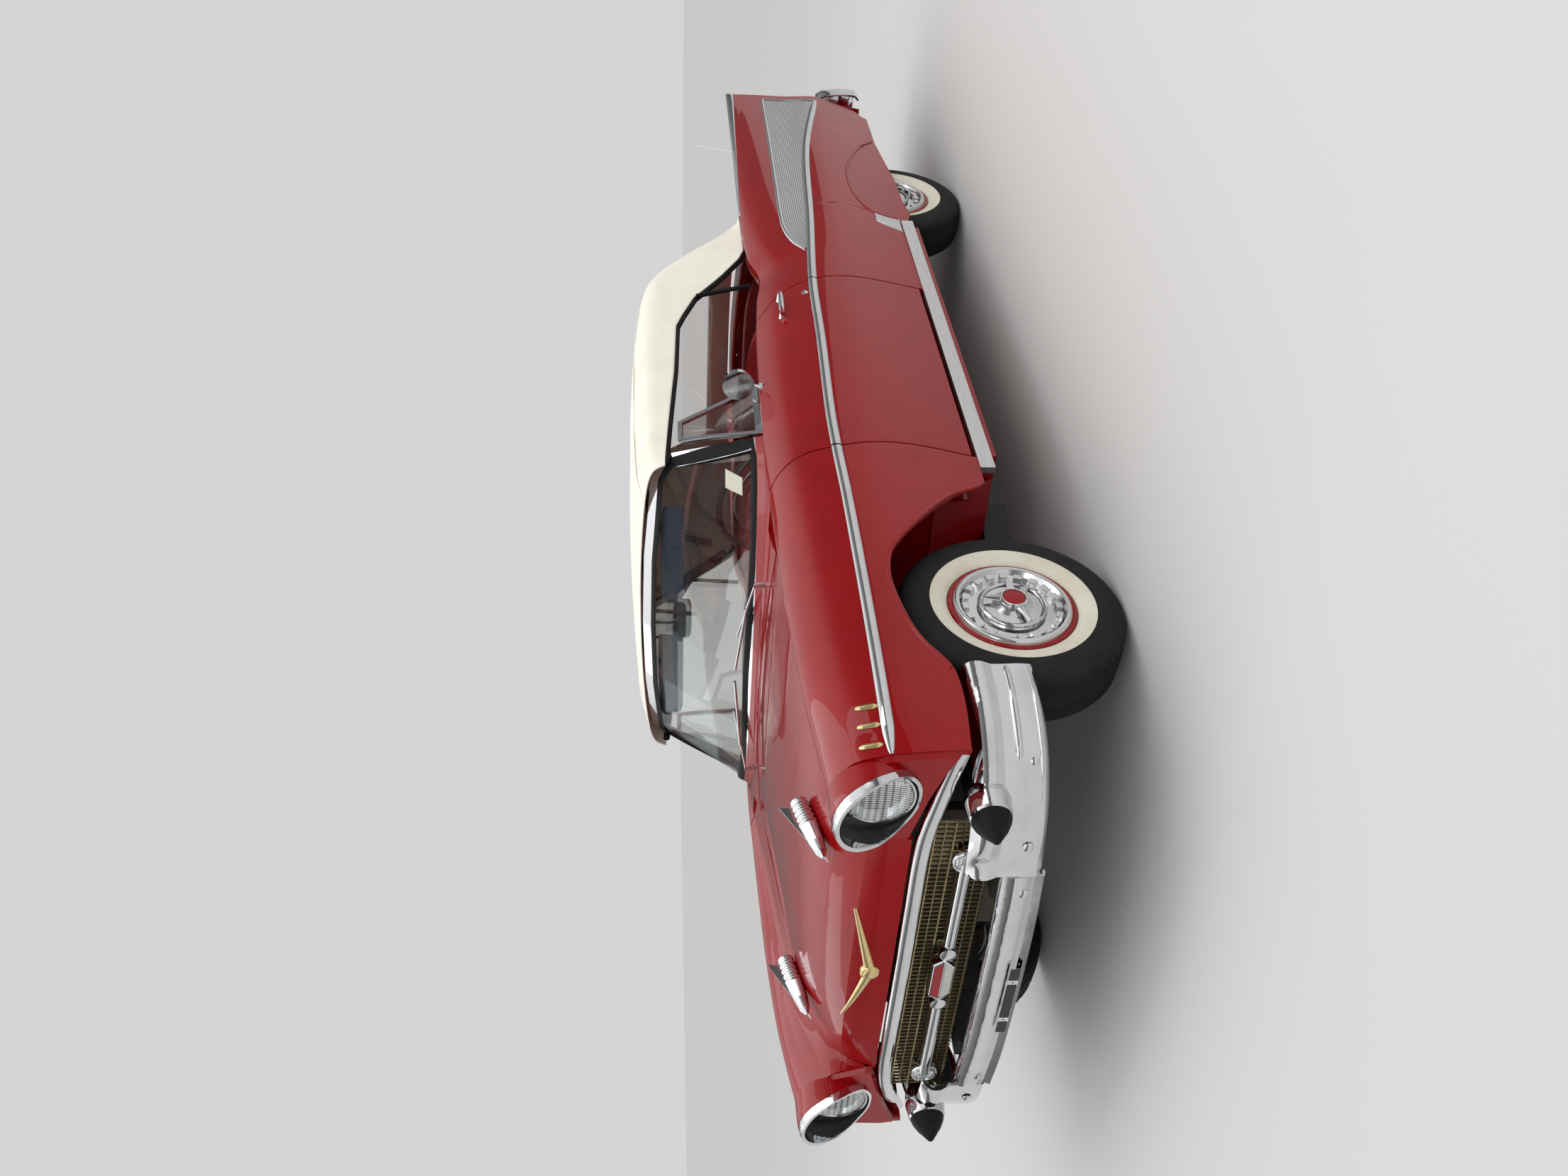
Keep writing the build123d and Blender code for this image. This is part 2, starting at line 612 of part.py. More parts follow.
# Rear axle on two leaf springs.
axle_z = tyre_radius
spring_x = 461
spring_half = 25
with BuildPart() as rear_axle:
    half_axle = rear_track / 2 - 36
    add(rod((-half_axle, rear_axle_s, axle_z), (half_axle, rear_axle_s, axle_z), 38))
    add(rod((0, rear_axle_s - 130, axle_z), (0, rear_axle_s + 90, axle_z), 100, 140))
    for side in (1, -1):
        for inner, outer, radius in ((-36, -30, 135), (-40, 36, 20 - fit_gap)):
            start = (side * (rear_track / 2 + inner), rear_axle_s, axle_z)
            add(rod(start, (side * (rear_track / 2 + outer), rear_axle_s, axle_z), radius))
        spring = [(2316, 250), (2560, 262), (2921, 285), (3280, 300), (3560, 335)]
        add(side_prism(strip(spring, 14), side * spring_x - spring_half, side * spring_x + spring_half))
        add(block((side * spring_x - 30, 2880, 285), (side * spring_x + 30, 2962, 345)))
        add(block((side * 471 - 16, 3520, 335), (side * 471 + 16, 3550, rear_rail_z - fit_gap)))

# Front suspension: a member across and two pairs of arms that hold the kingpins.
post_low, post_high = 236, 452
arm_wall = 22
with BuildPart() as front_suspension:
    add(block((-rail_x, -80, post_low - fit_gap), (rail_x, 80, 290)))
    for side in (1, -1):
        lower_z, upper_z = post_low - fit_gap - arm_wall, post_high + fit_gap
        for z, inner_x, spread in ((lower_z, 280, 110), (upper_z, rail_x, 80)):
            tip = side * (kingpin_x + 22)
            arm = [(side * inner_x, -spread), (tip, -20), (tip, 20), (side * inner_x, spread)]
            add(plan_prism(arm, z, z + arm_wall))
        add(block((min(side * 285, side * rail_x), -80, 280), (max(side * 285, side * rail_x), 80, 420)))
        pad = (side * rail_x, side * (rail_x + rail_width))
        add(block((min(pad), -80, axle_rail_z + rail_height), (max(pad), 80, post_high + arm_wall)))
    add(block((-285, -110, post_low - fit_gap - arm_wall), (285, 110, post_low)))

# Knuckles: the post, the brake's back plate and the spindle that carries the wheel.
knuckles = {}
for name, side in (("left", 1), ("right", -1)):
    centre = side * front_track / 2
    with BuildPart() as knuckle:
        add(rod((side * kingpin_x, 0, post_low), (side * kingpin_x, 0, post_high), 18))
        inner, outer = sorted((side * kingpin_x, centre - side * 30))
        add(block((inner, -35, 270), (outer, 35, 405)))
        add(rod((centre - side * 36, 0, axle_z), (centre - side * 30, 0, axle_z), 135))
        add(rod((centre - side * 40, 0, axle_z), (centre + side * 36, 0, axle_z), 20 - fit_gap))
    knuckles[name] = knuckle

# Wheels and tyres. Columns of the wheel's profile: distance outboard of the wheel's middle, and radius.
wheel_profile = [
    (-24, 20), (-24, 145), (20, 145), (22, 172), (-60, 176), (-72, 182), (-72, rim_radius), (74, rim_radius),
    (80, 188), (80, 177), (92, 172), (92, 158), (78, 148), (70, 130), (72, 100), (84, 92), (88, 60),
    (96, 40), (108, 38), (112, 26), (112, 0), (40, 0), (40, 20),
]
tyre_half = tyre_width / 2
tyre_profile = [
    (-74, rim_radius), (-90, 225), (-tyre_half, 262), (-90, 312), (-72, 332), (-30, tyre_radius),
    (30, tyre_radius),
    (72, 332), (90, 312), (tyre_half, 262), (90, 225), (74, rim_radius),
]


def turned(profile):
    """A body of revolution about the X axis from (X, radius) points."""
    with BuildPart() as body:
        with BuildSketch(Plane.XY):
            with BuildLine():
                Polyline(*profile, close=True)
            make_face()
        revolve(axis=Axis.X)
    return body.part


cover_tabs = 20
spinner_blades = 3
spinner_reach = 96
with BuildPart() as wheel_shape:
    add(turned(wheel_profile))
    with BuildSketch(Plane.YZ.offset(64)):
        with PolarLocations(139, cover_tabs):
            Rectangle(19, 24)
    extrude(amount=20)
    with BuildSketch(Plane.YZ.offset(99)):
        with PolarLocations(0, spinner_blades, start_angle=80):
            with BuildLine():
                Polyline((20, -17), (spinner_reach, -4), (spinner_reach, 4), (20, 17), close=True)
            make_face()
    extrude(amount=10)
tyre_shape = turned(tyre_profile)
corners = {
    "front_left": (1, front_track, 0),
    "front_right": (-1, front_track, 0),
    "rear_left": (1, rear_track, rear_axle_s),
    "rear_right": (-1, rear_track, rear_axle_s),
}
for name, (side, track, s) in corners.items():
    turn = 0 if side > 0 else 180
    with BuildPart() as tyre:
        with Locations(Location(spot(side * track / 2, s, axle_z), (0, 0, turn))):
            add(tyre_shape)
    tyre.part.label = f"tyre_{name}"
    export_step(tyre.part, f"parts/tyre_{name}.step")
    with BuildPart() as wheel:
        with Locations(Location(spot(side * track / 2, s, axle_z), (0, 0, turn))):
            add(wheel_shape.part)
    wheel.part.label = f"wheel_{name}"
    export_step(wheel.part, f"parts/wheel_{name}.step")

# Exhaust and fuel tank.
with BuildPart() as exhaust_system:
    add(pipe([(-300, 250, 300), (-330, 600, 155), (-330, 1500, 155)], 22, 80))
    add(rod((-330, 1500, 160), (-330, 2050, 160), 70))
    tail_pipe = [(-330, 2050, 160), (-330, 2600, 240), (-330, 2921, 425), (-330, 3250, 268)]
    add(pipe(tail_pipe + [(-600, 3600, 268), (-600, 4060, 268)], 22, 70))
    for s, low, high in ((1250, 165, 190), (2280, 205, 228)):
        add(block((-336, s - 12, low), (-324, s + 12, high - fit_gap)))
with BuildPart() as fuel_tank:
    add(block((-380, 3280, 330), (380, 3500, trunk_floor_z)))

# Bumpers: a pressed bar bent along a plan, its section from the lower lip up over the groove.
front_plan = [(0, -771), (300, -764), (500, -740), (690, -690), (820, -590), (876, -470), (893, -340)]
bar_keys = [(-20, 344), (4, 352), (-6, 373), (4, 396), (10, 432), (-2, 462), (-24, 469)]
wing_keys = [(-20, 356), (2, 372), (4, 430), (4, 480), (16, 506), (14, 540), (-14, 562)]


def bent_bar(plan, first, last, keys, wall):
    """A pressed bar along spans first to last of a smooth plan curve through (X, station) points,
    which may give a rise as a third value."""
    sections = []
    for i in range(first, last):
        for t in (0, 0.5, 1)[: 3 if i == last - 1 else 2]:
            point, way = on_curve(plan, i, t)
            tangent = Vector(way[0], way[1], 0)
            outward = Vector(way[1], -way[0], 0)
            rise = (1 - t) * plan[i][2] + t * plan[i + 1][2] if len(plan[i]) > 2 else 0
            plane = Plane(origin=spot(point[0], point[1], rise), x_dir=outward, z_dir=-tangent)
            sections.append(shell_section(plane, keys, wall))
    with BuildPart() as bar:
        loft(sections)
    return bar.part


bumper_wall = 8
bullet_x = 710
bullet_z = 522
cone_s = -729
bullet_body = [(0, 0), (0, 52), (20, 61), (50, 64), (94, 58), (-628 - cone_s, 55), (-628 - cone_s, 0)]
bullet_cone = [(0, 0), (0, 54), (14, 50), (36, 38), (60, 20), (75, 9), (81, 0)]
bar_plan = [(-500, -740), (-300, -764), (0, -771), (300, -764), (500, -740)]
plate_bolts = 178
plate_bolt_radius = 3.5
plate_face_s = -786
with BuildPart() as front_bumper:
    add(bent_bar(front_plan, 2, 6, wing_keys, bumper_wall))
    add(lathe((bullet_x, -628, bullet_z), (bullet_x, cone_s, bullet_z), bullet_body))
    mirror(about=Plane.YZ)
    add(bent_bar(bar_plan, 0, len(bar_plan) - 1, bar_keys, bumper_wall))
    for side in (1, -1):
        add(block((side * 380 - 30, -750, 385), (side * 380 + 30, rail_front_s - fit_gap, 440)))
    add(block((-150, plate_face_s, 366), (150, plate_face_s + 4, 396)))
    for x in (-60, 60):
        add(block((x - 15, plate_face_s, 372), (x + 15, -768, 390)))
    for side in (1, -1):
        bolt_x = side * plate_bolts / 2
        bolt = rod((bolt_x, plate_face_s - 5, 381), (bolt_x, plate_face_s + 5, 381), plate_bolt_radius)
        add(bolt, mode=Mode.SUBTRACT)
with BuildPart() as bullet_tips:
    for side in (1, -1):
        foot = (side * bullet_x, cone_s, bullet_z)
        add(lathe(foot, (side * bullet_x, -front_overhang, bullet_z), bullet_cone))

# Grille: a mesh of fine upright bars and a few level ones behind a chrome bar, under a moulding.
mesh_top, mesh_bottom = 650, 474
mesh_s = -655
upright_pitch = 29
upright_count = 43
level_pitch = 53
moulding_plan = [(-846, -606, 590), (-700, -644, 636), (-548, -664, 667), (-280, -684, 675), (0, -690, 676)]
moulding_plan = moulding_plan + [(-x, s, z) for x, s, z in moulding_plan[-2::-1]]
moulding_keys = [(-12, -22), (6, -12), (6, 12), (-12, 22)]
medallion = [(-96, 560), (-72, 592), (72, 592), (96, 560), (62, 530), (-62, 530)]
lamp_pod = [(0, 0), (0, 18), (8, 28), (34, 35), (48, 40), (56, 38), (56, 0)]
with BuildPart() as grille:
    with BuildSketch(across(mesh_s)):
        with GridLocations(upright_pitch, 0, upright_count, 1):
            with Locations((0, (mesh_top + mesh_bottom) / 2)):
                Rectangle(5, mesh_top - mesh_bottom)
        for i in range(4):
            with Locations((0, mesh_bottom + 8 + i * level_pitch)):
                Rectangle((upright_count - 1) * upright_pitch, 7)
    extrude(amount=12)
    add(rod((-505, -690, 552), (505, -690, 552), 16))
    for side in (1, -1):
        add(lathe((side * 505, -644, 550), (side * 505, -700, 547), lamp_pod))
        add(rod((side * 118, -664, 556), (side * 118, -712, 556), 24, 20))
    add(front_prism(medallion, -710, -676))
    add(block((-40, -690, 540), (40, -655, 560)))
    for side in (1, -1):
        add(block((side * 380 - 30, -675, 465 + fit_gap), (side * 380 + 30, -655, 484)))
        add(block((side * 380 - 30, -676, 640), (side * 380 + 30, -655, 670)))
    add(bent_bar(moulding_plan, 0, len(moulding_plan) - 1, moulding_keys, 6))

# Headlamps: a ring that runs forwards into a brow over the glass.
lens_radius = 89
bezel_back_s = nose_s - fit_gap
bezel_wall = 10
bezel_ring = [
    (0, bezel_radius), (70, bezel_radius - 1), (110, bezel_radius - 5), (128, bezel_radius - 12),
    (128, bezel_radius - 22), (70, bezel_radius - bezel_wall), (5, bezel_radius - bezel_wall),
    (5, lens_radius + 12), (0, lens_radius + 12),
]
lens_bowl = [(0, 0), (0, lens_radius - 1), (4, lens_radius), (12, lens_radius - 8), (18, 0)]
brow_cut = [(-900, 1000), (-772, 950), (-740, 860), (-712, 800), (-668, 730), (-648, 680), (-900, 600)]
with BuildPart() as headlamp_bezels:
    add(lathe((bezel_x, bezel_back_s, bezel_z), (bezel_x, -900, bezel_z), bezel_ring))
    add(rod((lamp_x, bezel_back_s - 5, lamp_z), (lamp_x, bezel_back_s, lamp_z), lens_radius + 14))
    add(rod((lamp_x, -900, lamp_z), (lamp_x, 0, lamp_z), lens_radius + fit_gap), mode=Mode.SUBTRACT)
    add(side_prism(brow_cut, 500, 900), mode=Mode.SUBTRACT)
    mirror(about=Plane.YZ)
with BuildPart() as headlamp_lenses:
    add(lathe((lamp_x, bezel_back_s, lamp_z), (lamp_x, -900, lamp_z), lens_bowl))
    mirror(about=Plane.YZ)

# Deck lid: profiles fore and aft, over the top and down the back.
deck_profiles = [
    (0, 3017, 1030, 3350, 1002, 3700, 965, 3930, 935, 4055, 890, 4102, 800, 4112, 700, 4112, 618),
    (330, 3017, 1018, 3350, 990, 3700, 954, 3930, 924, 4050, 880, 4096, 795, 4106, 700, 4106, 618),
    (650, 3017, 985, 3350, 955, 3700, 925, 3925, 900, 4030, 862, 4076, 785, 4086, 700, 4086, 618),
]
with BuildPart() as deck_lid:
    add(profile_loft(deck_profiles, skin_wall, lambda x: Plane.YZ.offset(x)))
    add(plan_prism(seam_plan([3000, 3200, 3700, 4300], panel_gap), 400, 1200), mode=Mode.INTERSECT)

# Tail panel: the body's back around the deck lid, and the shelf ahead of the lid.
shelf_front_s = cabin_rear_s - 10
shelf_rear_s = deck_front_s - panel_gap
with BuildPart() as tail_panel:
    keys = shelf_rows[::-1] + [(-x, z) for x, z in shelf_rows[1:]]
    loft([shell_section(across(s), keys, skin_wall) for s in (shelf_front_s, shelf_rear_s)])
    shelf_plan = seam_plan(even(shelf_front_s, shelf_rear_s, 6), 1)
    add(plan_prism(shelf_plan, 900, 1200), mode=Mode.INTERSECT)
    for side in (1, -1):
        ends = (side * 400, side * 470)
        barrel_s = deck_front_s - panel_gap / 2
        add(rod((ends[0], barrel_s, 1002), (ends[1], barrel_s, 1002), 2))
        add(block((min(ends), shelf_rear_s - 4, 1000), (max(ends), shelf_rear_s + 3, 1004)))
    end = [(850, 345), (884, 575), (874, 760), (868, 872), (856, 960), (842, 930), (822, 892), (800, 876)]
    end = end + [(640, 858), (636, 600)]
    end = end + [(-x, z) for x, z in end[::-1]]
    add(front_prism(end, trunk_rear_s, trunk_rear_s + 8))

# Rocker mouldings under the doors.
with BuildPart() as rocker_mouldings:
    add(block((880, 600, 285), (902, 2500, sill_z - fit_gap)))
    mirror(about=Plane.YZ)

# Rear bumper: the bar with its ends wrapped round the tail.
rear_s = overall_length - front_overhang
rear_plan = [
    (916, 3990), (912, 4090), (850, rear_s - 75), (690, rear_s - 30), (350, rear_s - 10),
    (0, rear_s - 6),
]
rear_plan = rear_plan + [(-x, s) for x, s in rear_plan[-2::-1]]
rear_keys = [(-20, 350), (2, 372), (6, 430), (4, 480), (-4, 530), (-20, 560)]
with BuildPart() as rear_bumper:
    add(bent_bar(rear_plan, 0, 10, rear_keys, bumper_wall))
    for side in (1, -1):
        add(block((side * 490 - 30, trunk_rear_s + 8 + fit_gap, 400), (side * 490 + 30, rear_s - 16, 440)))

# Tail lamps under the fins.
lamp_pot = [(0, 0), (0, 44), (60, 46), (96, 43), (112, 34), (120, 18), (122, 0)]
with BuildPart() as tail_lamps:
    add(lathe((826, trunk_rear_s + 8 + fit_gap, 770), (826, 5000, 770), lamp_pot))
    mirror(about=Plane.YZ)

# Windscreen: a wrapped band of glass in a frame. Columns of the plan: X and station, low and high.
screen_low_z, screen_high_z = 1000, 1440
screen_plan = [
    (0, 545, 0, 913), (290, 560, 260, 925), (540, 615, 440, 952), (700, 712, 550, 985),
    (788, 828, 610, 1012), (815, 916, 635, 1040),
]


def screen_band(outward, wall):
    """The wrapped band of the screen, its outer face moved outwards, one wall thick."""
    sections = []
    for z, first in ((screen_low_z, 0), (screen_high_z, 2)):
        half = [(row[first], row[first + 1]) for row in screen_plan]
        keys = [(-x, s) for x, s in half[:0:-1]] + half
        moved = []
        for i in range(len(keys)):
            point, way = on_curve(keys, min(i, len(keys) - 2), 0 if i < len(keys) - 1 else 1)
            moved.append((point[0] + outward * way[1], y_at(point[1] - outward * way[0])))
        sections.append(shell_section(Plane.XY.offset(z), moved, wall))
    with BuildPart() as band:
        loft(sections, ruled=True)
    return band.part


screen_outline = [(840, 1007), (600, 1011), (400, 1021), (0, 1026), (-400, 1021), (-600, 1011), (-840, 1007)]
screen_outline = screen_outline + [(-812, 1110), (-676, 1384), (-560, 1406), (-300, 1429), (0, 1436)]
screen_outline = screen_outline + [(300, 1429), (560, 1406), (676, 1384), (812, 1110)]
glass_outline = [(782, 1058), (0, 1072), (-782, 1058), (-655, 1330), (-600, 1362), (-300, 1386), (0, 1392)]
glass_outline = glass_outline + [(300, 1386), (600, 1362), (655, 1330)]
with BuildPart() as windscreen_frame:
    add(screen_band(6, 26))
    add(front_prism(screen_outline, 300, 1400), mode=Mode.INTERSECT)
    add(front_prism(glass_outline, 300, 1400), mode=Mode.SUBTRACT)
    add(cowl.part.moved(Location((0, 0, fit_gap))), mode=Mode.SUBTRACT)
with BuildPart() as windscreen_glass:
    add(screen_band(-6, 6))
    add(front_prism(glass_outline, 300, 1400), mode=Mode.INTERSECT)

# Soft top. Columns: station, then X and Z from the hem up the side and over to the middle.
top_rows = [
    (925, 800, 1010, 735, 1180, 690, 1340, 656, 1395, 560, 1420, 300, 1440, 0, 1446),
    (1100, 800, 1010, 745, 1180, 708, 1345, 682, 1412, 600, 1446, 320, 1470, 0, 1477),
    (1500, 800, 1010, 752, 1170, 716, 1345, 690, 1422, 610, 1462, 330, 1487, 0, 1494),
    (1950, 802, 1010, 756, 1160, 720, 1335, 692, 1420, 610, 1464, 330, 1492, 0, 1500),
    (2350, 804, 1015.6, 766, 1130, 722, 1285, 686, 1390, 600, 1444, 330, 1477, 0, 1486),
    (2560, 796, 1017.6, 757, 1090, 716, 1205, 668, 1300, 580, 1370, 330, 1415, 0, 1428),
    (2760, 772, 1018, 738, 1040, 700, 1100, 645, 1170, 550, 1222, 320, 1262, 0, 1274),
    (2900, 742, 1016, 712, 1014, 676, 1038, 615, 1068, 530, 1094, 310, 1118, 0, 1126),
    (2985, 700, 1006, 672, 1003, 640, 1009, 590, 1018, 510, 1028, 300, 1038, 0, 1041),
]
window_side = [
    (900, 900), (900, 1352), (1157, 1340), (1523, 1316), (1859, 1306), (1941, 1282), (2076, 1232),
    (2219, 1116), (2330, 1039), (2420, 1008), (2440, 900),
]
rear_glass = [(-430, 1130), (430, 1130), (400, 1345), (-400, 1345)]


def top_keys(s, drop):
    """The key points of the canopy's section, from hem to hem, moved inwards by drop."""
    row = [smooth(top_rows, s, column) for column in range(1, 15)]
    half = list(zip(row[0::2], row[1::2]))
    keys = half + [(-x, z) for x, z in half[-2::-1]]
    moved = []
    for i in range(len(keys)):
        point, way = on_curve(keys, min(i, len(keys) - 2), 0 if i < len(keys) - 1 else 1)
        moved.append((point[0] - drop * way[1], point[1] + drop * way[0]))
    return moved


def top_shell(drop, wall, round_outside=True):
    """The canopy's form as a lofted sheet, lowered by drop, with a round or a many-sided outside."""
    sections = []
    for s in even(top_rows[0][0], top_rows[-1][0], 9):
        if round_outside:
            sections.append(shell_section(across(s), top_keys(s, drop), wall))
        else:
            with BuildSketch(across(s)) as section:
                with BuildLine():
                    Polyline(*top_keys(s, drop), *top_keys(s, drop + wall)[::-1], close=True)
                make_face()
            sections.append(section.sketch)
    with BuildPart() as shell:
        loft(sections)
    return shell.part


with BuildPart() as soft_top:
    add(top_shell(0, top_wall))
    add(side_prism(window_side, -900, 900), mode=Mode.SUBTRACT)
    add(front_prism(rear_glass, 2450, 3100), mode=Mode.SUBTRACT)
with BuildPart() as rear_window:
    add(top_shell(3, 3))
    add(front_prism(rear_glass, 2450, 3100), mode=Mode.INTERSECT)

# Frame of the top: bows under the cloth and a rail along the top of each window opening.
bow_stations = (1450, 1950, 2380)
bow_width = 30
rail_line = [
    (1060, 1349), (1157, 1342), (1523, 1318), (1859, 1308), (1941, 1284), (2076, 1234),
    (2219, 1118), (2330, 1041),
]
with BuildPart() as frame_bars:
    add(side_prism(strip(rail_line, 34), -900, 900))
    for s in bow_stations:
        add(block((-900, s - bow_width / 2, 1330 if s < 2000 else 1120), (900, s + bow_width / 2, 1600)))
with BuildPart() as top_frame:
    add(top_shell(top_wall + 0.6, 14, round_outside=False))
    add(frame_bars.part, mode=Mode.INTERSECT)

# Dashboard with the steering column.
wheel_hub = (370, 1190, 965)
column_axis = Vector(0, cos(radians(27.7)), sin(radians(27.7)))
hub_half = 23
with BuildPart() as dashboard:
    add(side_prism([(640, 790), (960, 730), (985, 900), (960, 1012), (800, 1030), (640, 1034)], -735, 735))
    add(side_prism([(780, 1020), (1010, 960), (1020, 1020), (960, 1058), (830, 1058)], 200, 540))
    add(plan_prism(behind_screen(fit_gap), 600, 1200), mode=Mode.INTERSECT)
    column_end = spot(*wheel_hub) - column_axis * (hub_half + fit_gap)
    with Locations(Plane(origin=column_end, z_dir=-column_axis)):
        Cylinder(24, 380, align=(Align.CENTER, Align.CENTER, Align.MIN))

# Steering wheel: rim, two spokes and hub on a raked axis.
with BuildPart() as steering_wheel:
    with Locations(Plane(origin=spot(*wheel_hub), x_dir=(1, 0, 0), z_dir=column_axis)):
        Torus(212, 11)
        Cylinder(30, 2 * hub_half)
        Box(2 * 212, 26, 10)

# Seats.
seat_half = 700
with BuildPart() as front_seat:
    cushion = [(1330, 458), (1900, 458), (1900, 520), (1860, 570), (1350, 610), (1310, 530)]
    back = [(1880, 500), (2000, 470), (2070, 900), (2060, 1010), (1990, 1020), (1950, 960), (1860, 600)]
    for outline in (cushion, back):
        add(side_prism(outline, -seat_half, seat_half))
    for side in (1, -1):
        for s in (1380, 1800):
            inner, outer = sorted((side * 260, side * 640))
            add(block((inner, s, frame_top_z + floor_wall + fit_gap), (outer, s + 40, 460)))
with BuildPart() as rear_seat:
    add(side_prism([(2280, 430.3), (2640, 437.4), (2640, 560), (2270, 590)], -560, 560))
    add(side_prism([(2600, 560), (2730, 560), (2730, 985), (2690, 990), (2640, 960)], -580, 580))

# Wipers, aerials, visors and mirror, vent windows, door mirror.
wiper_x, wiper_s = 443, 568
aerial_s = 3545
with BuildPart() as wipers:
    for side in (1, -1):
        foot_z = cowl_height(wiper_x, wiper_s) - 4
        add(rod((side * wiper_x, wiper_s, foot_z), (side * wiper_x, wiper_s - 6, 1056), 12, 10))
        add(rod((side * wiper_x, wiper_s - 6, 1052), (side * 180, 606, 1102), 4))
        add(rod((side * 330, 576, 1076), (side * 30, 600, 1104), 5))
    add(cowl.part.moved(Location((0, 0, fit_gap))), mode=Mode.SUBTRACT)
with BuildPart() as aerials:
    foot_x, foot_z = smooth(body_side, aerial_s, 11) - 20, smooth(body_side, aerial_s, 12)
    for side in (1, -1):
        add(rod((side * foot_x, aerial_s, foot_z - 1), (side * foot_x, aerial_s + 6, foot_z + 40), 13, 7))
        add(rod((side * foot_x, aerial_s + 6, foot_z + 38), (side * 710, 3813, 1205), 3))
with BuildPart() as visors_and_mirror:
    for side in (1, -1):
        add(block((min(side * 80, side * 500), 932, 1285), (max(side * 80, side * 500), 942, 1366)))
        add(rod((side * 90, 906, 1412), (side * 90, 937, 1362), 5))
    add(block((-110, 912, 1250), (110, 930, 1310)))
    add(rod((0, 904, 1412), (0, 921, 1300), 6))
    add(windscreen_frame.part.moved(Location((0, fit_gap, -fit_gap))), mode=Mode.SUBTRACT)
vent_windows = {}
vent_lean = atan2(100, 325)
vent_foot = (800, 1016.6)
vent_outline = [(940, 0), (1250, 0), (1250, 40), (1150, 300), (1030, 300)]
vent_glass = [(966, 22), (1232, 22), (1136, 284), (1042, 284)]
for name, side in (("left", 1), ("right", -1)):
    lean = Plane(
        origin=(side * vent_foot[0], 0, vent_foot[1]),
        x_dir=(0, side, 0),
        z_dir=(side * cos(vent_lean), 0, sin(vent_lean)),
    )
    with BuildPart() as vent_window:
        with BuildSketch(lean):
            with BuildLine():
                Polyline(*[(side * y_at(s), z) for s, z in vent_outline], close=True)
            make_face()
        extrude(amount=12)
        with BuildSketch(lean):
            with BuildLine():
                Polyline(*[(side * y_at(s), z) for s, z in vent_glass], close=True)
            make_face()
        extrude(amount=12, mode=Mode.SUBTRACT)
        with BuildSketch(lean.offset(4)):
            with BuildLine():
                Polyline(*[(side * y_at(s), z) for s, z in vent_glass], close=True)
            make_face()
        extrude(amount=4)
    vent_windows[name] = vent_window
mirror_x, mirror_s = 838, 1200
with BuildPart() as door_mirror:
    foot_z = smooth(body_side, mirror_s, 10)
    add(rod((mirror_x, mirror_s, foot_z - 6), (mirror_x, mirror_s, foot_z + 6), 16))
    add(rod((mirror_x, mirror_s, foot_z + 4), (mirror_x + 16, mirror_s - 6, 1075), 8))
    add(rod((mirror_x + 16, mirror_s - 20, 1092), (mirror_x + 16, mirror_s + 12, 1092), 57, 50))
    add(door_left.part.moved(Location((0, 0, fit_gap))), mode=Mode.SUBTRACT)

single = {
    "chassis_frame": chassis_frame, "floor_pan": floor_pan, "inner_fenders": inner_fenders,
    "engine_and_driveline": engine_and_driveline, "rear_axle": rear_axle,
    "front_suspension": front_suspension,
    "exhaust_system": exhaust_system, "fuel_tank": fuel_tank, "front_fender_left": front_fender_left,
    "front_fender_right": front_fender_right, "door_left": door_left, "door_right": door_right,
    "quarter_left": quarter_left, "quarter_right": quarter_right, "fender_skirts": fender_skirts,
    "hood": hood,
    "hood_ornaments": hood_ornaments, "cowl": cowl, "knuckle_left": knuckles["left"],
    "knuckle_right": knuckles["right"], "front_bumper": front_bumper, "bullet_tips": bullet_tips,
    "grille": grille, "headlamp_bezels": headlamp_bezels, "headlamp_lenses": headlamp_lenses,
    "deck_lid": deck_lid, "tail_panel": tail_panel, "rocker_mouldings": rocker_mouldings,
    "rear_bumper": rear_bumper, "tail_lamps": tail_lamps, "windscreen_frame": windscreen_frame,
    "windscreen_glass": windscreen_glass, "soft_top": soft_top, "rear_window": rear_window,
    "top_frame": top_frame, "dashboard": dashboard, "steering_wheel": steering_wheel,
    "front_seat": front_seat, "rear_seat": rear_seat, "wipers": wipers, "aerials": aerials,
    "visors_and_mirror": visors_and_mirror, "vent_window_left": vent_windows["left"],
    "vent_window_right": vent_windows["right"], "door_mirror": door_mirror,
}
for name, piece in single.items():
    piece.part.label = name
    export_step(piece.part, f"parts/{name}.step")
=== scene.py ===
# 1950s convertible, soft top up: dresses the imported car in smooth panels, trim, cloth and finishes.
# Shapes are worked out in millimetres as (x, station, z); a station counts back from the front axle.
import bmesh
import bpy
import json
import numpy as np
from math import cos, pi, radians, sin
from mathutils import Matrix, Vector


